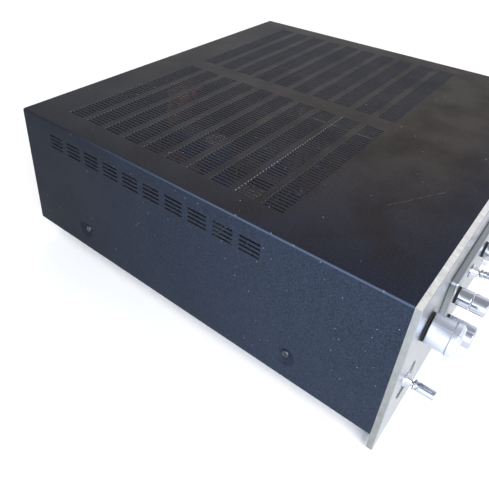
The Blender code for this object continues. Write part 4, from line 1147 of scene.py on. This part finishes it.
jack_low, jack_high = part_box("headphone_jack")
nut = lathe([
    (0.0034, 0.0002), (0.0040, 0, 0.0002), (0.0056, 0, 0.0003), (0.0060, 0.0005, 0.0003), (0.0060, 0.0022),
    (0.0046, 0.0022), (0.0046, 0.0095), (0.0034, 0.0095)], steps=64)
notches = [bar((0.0040, -0.001, -0.0005), (0.0080, 0.0008, 0.0005)) for k in range(4)]
for k, notch in enumerate(notches):
    notch.transform(Matrix.Rotation(math.radians(45 + 90 * k), 4, "Y"))
piece("headphone_jack_nut", carve(nut, *notches), chrome, ["headphone_jack"],
      at=jack_at, sharp=24)
deep = jack_high.y - jack_low.y
shell = lathe([
    (0.0032, 0.0006), (0.0034, 0.0006), (0.0034, 0.0096), (0.0074, 0.0096, 0.0004),
    (0.0078, 0.0100, 0.0004),
    (0.0078, deep, 0.0006), (0, deep), (0, deep - 0.004), (0.0032, deep - 0.004)], steps=48)
piece("headphone_jack_sleeve", shell, abs_black, at=jack_at)


# ---- Rear sockets and terminals -------------------------------------------------------------
# Phono sockets riveted to a phenolic strip, spring-lever speaker terminals moulded in black
# ABS, and an aerial strip with four knurled screws.
strip_low, strip_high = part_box("input_jack_strip")
BASE_DEEP = 0.0022
strip_base = bar(strip_low, (strip_high.x, strip_low.y + BASE_DEEP, strip_high.z), 0.0005)
piece("input_jack_strip_base", strip_base, abs_black, ["input_jack_strip"])
shells, red_rings, black_rings = bmesh.new(), bmesh.new(), bmesh.new()
plug_y = strip_low.y + BASE_DEEP
for i in range(4):
    for j in range(2):
        spot = (strip_low.x + 0.012 + 0.019 * i, plug_y, strip_low.z + 0.012 + 0.018 * j)
        turn(shells, soften([(0.0035, 0.0), (0.0056, 0.0), (0.0056, 0.0006, 0.0002),
                             (0.0042, 0.0008, 0.0003),
                             (0.0042, 0.0075, 0.0003), (0.0035, 0.0075)]), spot, steps=40)
        turn(shells, [(0.0014, 0.0005), (0.0018, 0.0005), (0.0018, 0.0060), (0.0014, 0.0060)], spot,
             steps=20)
        turn(red_rings if j == 0 else black_rings,
             soften([(0.0018, 0.0), (0.0035, 0.0), (0.0035, 0.0066, 0.0002), (0.0018, 0.0066, 0.0002)]),
             spot, steps=32)
piece("input_jack_shells", shells, chrome)
piece("input_jack_right_insulators", red_rings, red)
piece("input_jack_left_insulators", black_rings, abs_black)

term_low, term_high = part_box("speaker_terminals")
housing = bar(term_low, term_high, 0.0008)
pockets = []
contacts = bmesh.new()
for k in range(1, 5):
    low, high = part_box("speaker_lever_%d" % k)
    pockets.append(bar((low.x - 0.0005, term_low.y + 0.0027, low.z - 0.0015),
                       (high.x + 0.0005, term_high.y + 0.002, high.z + 0.0015), 0.0004))
    middle = (low.x + high.x) / 2
    block(contacts, (middle - 0.0020, term_low.y + 0.0028, low.z - 0.0012),
          (middle + 0.0020, term_low.y + 0.0036, low.z + 0.006), 0.0002)
    lever = slab([(box_outline(low, high, i, 0.0010), y) for i, y in (
        (0.0002, low.y), (0.0, low.y + 0.0003), (0.0, high.y - 0.0006), (0.0003, high.y - 0.0001),
        (0.0008, high.y))])
    grips = [bar((low.x - 0.001, high.y - 0.0006, low.z + 0.0022 + 0.0014 * n),
                 (high.x + 0.001, high.y + 0.001, low.z + 0.0028 + 0.0014 * n)) for n in range(4)]
    piece("speaker_lever_%d_cap" % k, carve(lever, *grips), red if k % 2 == 0 else abs_black,
          ["speaker_lever_%d" % k],
          body="terminal_lever_%d" % k)
piece("speaker_terminal_housing", carve(housing, *pockets), abs_black,
      ["speaker_terminals"])
piece("speaker_terminal_contacts", contacts, tin)

aerial_low, aerial_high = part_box("antenna_terminals")
aerial_base = bar(aerial_low, (aerial_high.x, aerial_low.y + 0.0036, aerial_high.z), 0.0006)
piece("antenna_terminal_strip", aerial_base, abs_black, ["antenna_terminals"])
heads = bmesh.new()
for k in range(4):
    spot = (aerial_low.x + 0.008 + 0.0147 * k, aerial_low.y + 0.0036, (aerial_low.z + aerial_high.z) / 2)
    knurl = lathe([(0, 0), (0.0040, 0), (0.0040, 0.0024, 0.0004), (0, 0.0024)], spot, steps=40)
    for vert in knurl.verts:
        offset = Vector((vert.co.x - spot[0], 0, vert.co.z - spot[2]))
        tooth = round(math.degrees(math.atan2(offset.z, offset.x)) / 9) % 2
        if tooth and offset.length > 0.0035:
            vert.co -= offset.normalized() * 0.00025
    cross = bar((spot[0] - 0.003, spot[1] + 0.0018, spot[2] - 0.0004),
                (spot[0] + 0.003, spot[1] + 0.004, spot[2] + 0.0004))
    join(heads, carve(knurl, cross))
piece("antenna_terminal_screws", heads, zinc)


# ---- Rod aerial -----------------------------------------------------------------------------
# A ferrite rod in a black moulded tube with rounded ends; it swings out on a moulded bracket.
hinge = Vector(joints["antenna_swing"]["pos_m"])
bracket_low, bracket_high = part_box("antenna_bracket")
bracket = bar(bracket_low, (bracket_high.x, bracket_low.y + 0.0017, bracket_high.z), 0.0004)
block(bracket, (hinge.x - 0.005, bracket_low.y + 0.0012, bracket_low.z),
      (hinge.x + 0.005, bracket_high.y, bracket_low.z + 0.0038), 0.0008)
piece("antenna_bracket_moulding", bracket, abs_black, ["antenna_bracket"])
rod_low, rod_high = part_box("rod_antenna")
ROD_R, ROD_END = 0.0048, 0.184
rod_start, rod_end = rod_low.x - hinge.x, ROD_END - hinge.x
ferrite = surface("black_tube_over_ferrite", "#202023", 0.0, 0.45, 0.6, 0.02, (0.36, 0.52),
                  ("#1b1b1e", "#27272b"))
rod = lathe([(0, rod_start), (ROD_R, rod_start, 0.0022), (ROD_R, rod_start + 0.008, 0.0002),
             (ROD_R - 0.0004, rod_start + 0.0084, 0.0002),
             (ROD_R - 0.0004, rod_end - 0.0084, 0.0002),
             (ROD_R, rod_end - 0.008, 0.0002), (ROD_R, rod_end, 0.0014), (0, rod_end)], axis="X", steps=48)
block(rod, (rod_end - 0.004, -0.0025, -0.0030), (0.0, 0.0025, 0.0030), 0.0008)
turn(rod, soften([(0, -0.0075), (0.0046, -0.0075, 0.0006), (0.0046, 0.0050, 0.0010), (0, 0.0050)]),
     axis="Z", steps=40)
piece("rod_antenna_tube", rod, ferrite, ["rod_antenna"], body="antenna_rod", at=hinge)


# ---- Cord gland -----------------------------------------------------------------------------
# A two-part nylon strain relief snapped into the rear panel, ribbed where the cord leaves.
gland_deep = gland_high.y - gland_low.y
gland = lathe([
    (0.0019, 0), (0.0048, 0, 0.0004), (0.0055, 0.0008, 0.0002), (0.0055, 0.0063), (0.0075, 0.0063, 0.0003),
    (0.0075, 0.0080, 0.0005), (0.0058, 0.0084, 0.0003), (0.0058, 0.0094, 0.0003), (0.0053, 0.0098, 0.0002),
    (0.0055, 0.0106, 0.0003), (0.0050, 0.0112, 0.0002), (0.0051, 0.0120, 0.0003),
    (0.0046, gland_deep, 0.0004), (0.0019, gland_deep)], steps=48)
piece("cord_gland_nylon", gland, abs_black, ["cord_gland"],
      at=Vector((gland_x, gland_low.y, gland_z)))


# ---- Cover ----------------------------------------------------------------------------------
# One wrap-round sheet of 0.9 mm steel, punched with ten rows of cooling slots in two banks and
# four side slots to each row, folded, dimpled for its screws and sprayed satin black.
cover_low, cover_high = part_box("top_cover")
cover_path = soften([(cover_low.x, cover_low.z), (cover_low.x, cover_high.z, FOLD),
                     (cover_high.x, cover_high.z, FOLD), (cover_high.x, cover_low.z)], steps=6)
cover_span = sum((b - a).length for a, b in zip(cover_path, cover_path[1:]))

COVER_SHEET = 0.0009
SLOT_W, SLOT_L = 0.0021, 0.0186
SLOTS_IN_ROW = 43
BANK = (0.0123, 0.1841)
ROWS, ROW_PITCH, ROW_FIRST = 10, 0.02465, 0.0379
# the row of roof slots whose end walls on the left carry a painted glint
GLINT_ROW = 8
SIDE_SLOT_Z = (0.1324, 0.1285, 0.1245, 0.1205)
SIDE_SLOT_H = 0.0020
slot_pitch = (BANK[1] - BANK[0] - SLOT_W) / (SLOTS_IN_ROW - 1)
# slots and dimples are placed by u, which runs up the left side, over the top and down the right
slots = []
for row in range(ROWS):
    y1 = cover_high.y - ROW_FIRST - row * ROW_PITCH
    for side in (-1, 1):
        for k in range(SLOTS_IN_ROW):
            u = cover_span / 2 + side * (BANK[0] + SLOT_W / 2 + k * slot_pitch)
            slots.append((u - SLOT_W / 2, u + SLOT_W / 2, y1 - SLOT_L, y1))
    for z in SIDE_SLOT_Z:
        for u in (z - cover_low.z, cover_span - (z - cover_low.z)):
            slots.append((u - SIDE_SLOT_H / 2, u + SIDE_SLOT_H / 2, y1 - SLOT_L, y1))

screw_spots = {}
dimples = []
for side in ("left", "right"):
    for place in ("rear", "front"):
        low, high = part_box("cover_screw_%s_%s" % (side, place))
        y, z = (low.y + high.y) / 2, (low.z + high.z) / 2
        screw_spots[side, place] = (y, z)
        u = z - cover_low.z if side == "left" else cover_span - (z - cover_low.z)
        dimples.append((u, y, 0.0125, [(0.0110, 0.0), (0.0100, 0.0), (0.0094, 0.00015), (0.0088, 0.0006),
                                       (0.0054, 0.0024), (0.0048, 0.0028), (0.0042, 0.0030),
                                       (0.0021, 0.0030)]))

# Satin black enamel: sprayed over a fine texture, so it breaks the light into a soft grain,
# drawn at 0.8 mm where the real one is about 0.4 mm.  Its colour carries painted light: the sides
# are a bluer lit copy of the paint, shaded towards the rear, and the roof a painted sheen, bluish at
# the front and warmer and lighter to the right, under random blotches.  It also carries dust
# specks, worn folds with a painted highlight along them and one faint scratch near the left front.
enamel, tree, shader = new_material("satin_black_enamel", "#1d2029", 0.0, 0.5)
shader.inputs["Specular IOR Level"].default_value = 0.08
where = add(tree, "ShaderNodeTexCoord")
spot = where.outputs["Object"]
grain = noise(tree, spot, 0.8)
bump = add(tree, "ShaderNodeBump", links={"Height": grain, "Distance": 0.00004})
tree.links.new(bump.outputs[0], shader.inputs["Normal"])
wiped = noise(tree, spot, 38.0, 6.0)
tree.links.new(ramp(tree, wiped, 0.35, 0.65, 0.50, 0.57), shader.inputs["Roughness"])
parts = add(tree, "ShaderNodeSeparateXYZ", links={0: spot})
x_at, y_at, z_at = (parts.outputs[axis] for axis in "XYZ")
to_rear = ramp(tree, y_at, -0.10, 0.16)
blotch = ramp(tree, wiped, 0.42, 0.66, 0.0, 0.7)
# painted light: the sides are a bluer lit copy of the paint, lighter at the front and shaded towards the
# rear
side_painted_light = blend(tree, to_rear, "#252d3a", "#151a22")
# painted sheen on the roof: bluish at the front left, warmer and lighter to the right, with random blotches
# over it
to_right = ramp(tree, x_at, -0.19, -0.02)
roof_sheen_across = blend(tree, to_right, "#161a26", "#2c2825")
roof_sheen_and_blotches = blend(tree, blotch, roof_sheen_across, "#1b1616")
roof_painted_sheen = blend(tree, to_rear, roof_sheen_and_blotches, "#1d2025")
# a bluish band of painted light along the roof's front edge
front_band = ramp(tree, y_at, -0.145, -0.195, 0.0, 0.8)
roof_painted_light = blend(tree, front_band, roof_painted_sheen, "#191f2d")
# the way a face looks picks the roof's or the sides' painted light
upward = add(tree, "ShaderNodeNewGeometry")
lift = add(tree, "ShaderNodeSeparateXYZ", links={0: upward.outputs["True Normal"]})
roof = ramp(tree, lift.outputs["Z"], 0.3, 0.9)
painted_light_tone = blend(tree, roof, side_painted_light, roof_painted_light)
grain_tone = ramp(tree, grain, 0.35, 0.65, 0.6, 1.4)
grained = blend(tree, 1.0, painted_light_tone, grain_tone, "MULTIPLY")

# the folds: bare spots where the paint is rubbed through, and a painted highlight along them, strongest
# towards the front
by_side = ramp(tree, maths(tree, "ABSOLUTE", x_at), cover_high.x - 0.0015, cover_high.x - 0.0008)
by_top = ramp(tree, z_at, cover_high.z - 0.0015, cover_high.z - 0.0008)
fold = maths(tree, "MULTIPLY", by_side, by_top)
rub = noise(tree, spot, 7.0, 6.0)
wear = maths(tree, "MULTIPLY", fold, ramp(tree, rub, 0.66, 0.74))
fold_highlight = maths(tree, "MULTIPLY", fold, ramp(tree, y_at, 0.14, -0.06, 0.0, 0.7))

# dust: one speck in each cell, of its own size, and none in some
specks = add(tree, "ShaderNodeTexVoronoi", links={"Vector": spot, "Scale": per_mm(8.0)})
speck_size = add(tree, "ShaderNodeSeparateXYZ", links={0: specks.outputs["Color"]})
speck_limit = ramp(tree, speck_size.outputs["X"], 0.40, 1.0, 0.0, 0.07)
speck = maths(tree, "LESS_THAN", specks.outputs["Distance"], speck_limit)

# the scratch: X runs along it from its start and Y is measured across it
SCRATCH_START = (-0.1232, -0.1284, 0.0)
SCRATCH_LENGTH, SCRATCH_ANGLE = 0.055, math.radians(29.5)
from_start = add(tree, "ShaderNodeVectorMath", {"operation": "SUBTRACT"}, {0: spot, 1: SCRATCH_START})
along = add(tree, "ShaderNodeVectorRotate", {"rotation_type": "Z_AXIS"}, {
    "Vector": from_start.outputs[0], "Angle": SCRATCH_ANGLE})
line = add(tree, "ShaderNodeSeparateXYZ", links={0: along.outputs[0]})
thin = ramp(tree, maths(tree, "ABSOLUTE", line.outputs["Y"]), 0.00012, 0.00030, 1.0, 0.0)
begun = maths(tree, "GREATER_THAN", line.outputs["X"], 0.0)
ended = maths(tree, "LESS_THAN", line.outputs["X"], SCRATCH_LENGTH)
on_top = maths(tree, "GREATER_THAN", z_at, cover_high.z - 0.0005)
scratch = maths(tree, "MULTIPLY", maths(tree, "MULTIPLY", begun, ended), on_top)
scratch = maths(tree, "MULTIPLY", scratch, thin)
faint = maths(tree, "MULTIPLY", scratch, ramp(tree, rub, 0.40, 0.60, 0.1, 0.7))

tone = grained
# the fold highlight is painted light; the wear, dust specks and scratch are real marks
for mask, colour in ((fold_highlight, "#525d72"), (wear, "#868c96"), (speck, "#8e8e92"), (faint, "#6a6664")):
    tone = blend(tree, mask, tone, colour)
tree.links.new(tone, shader.inputs["Base Color"])

# Punched edges: thinly painted and drawn lighter than the roof as painted light; the end walls
# that face the front carry a painted highlight, and those of one row on the left a painted glint.
# the slots' walls: thin paint, drawn lighter and bluer than the roof as painted light from the left
punched = surface("punched_edge_thin_paint_and_painted_light", "#2b2f38", 0.0, 0.5, 0.5, 0.02, (0.42, 0.6),
                  ("#23272f", "#343943"))
slot_end_highlight = surface("punched_edge_painted_highlight", "#5a5e66", 0.0, 0.5, 0.5, 0.02, (0.42, 0.6),
                      ("#4c5058", "#686c74"))
slot_end_glint = surface("punched_edge_painted_glint", "#b4b7bc", 0.3, 0.45, 0.5, 0.02, (0.36, 0.55),
               ("#9a9da3", "#c8cbd0"))

cover = piece("top_cover_sheet", folded_sheet(cover_path, (cover_low.y, cover_high.y), slots, dimples),
              [enamel, punched, slot_end_highlight, slot_end_glint], ["top_cover"], changes=[
                  ("SOLIDIFY", {"thickness": COVER_SHEET, "offset": -1.0, "use_even_offset": True})])
# material 1 goes on the slots' walls, 2 (a painted highlight) on the roof slots' end walls and 3 (a painted
# glint) on those of the glinting row
SLOT_WALL_AREA, NEAR = 2.5e-5, 0.001
first_slot = cover_high.y - ROW_FIRST
last_slot = first_slot - (ROWS - 1) * ROW_PITCH - SLOT_L
for face in cover.data.polygons:
    inside = last_slot - NEAR < face.center.y < first_slot + NEAR and face.area < SLOT_WALL_AREA
    on_roof = face.center.z > cover_high.z - 0.002 and abs(face.normal.z) < 0.1
    on_side = abs(face.center.x) > cover_high.x - 0.002 and abs(face.normal.x) < 0.1
    if inside and (on_roof or on_side):
        end_wall = abs(face.normal.y) > 0.9 and on_roof
        rows_back = (first_slot - face.center.y) / ROW_PITCH
        glint_wall = GLINT_ROW - NEAR / ROW_PITCH < rows_back < GLINT_ROW + 1 and face.center.x < 0
        face.material_index = (3 if glint_wall else 2) if end_wall else 1

# Black oxide cross-head screws, their crowns rubbed a little bright.
oxide = surface("black_oxide_steel_screw", "#3c3e44", 0.8, 0.4, 1.0, 0.02, (0.3, 0.5),
                ("#2b2d32", "#5a5d64"))
for (side, place), (y, z) in screw_spots.items():
    sign = -1 if side == "left" else 1
    seat = sign * (cover_high.x - 0.0030)
    screws("cover_screw_%s_%s_head" % (side, place), [(seat, y, z)], (sign, 0, 0), 0.0034, 0.0019, oxide,
           replaces=["cover_screw_%s_%s" % (side, place)])
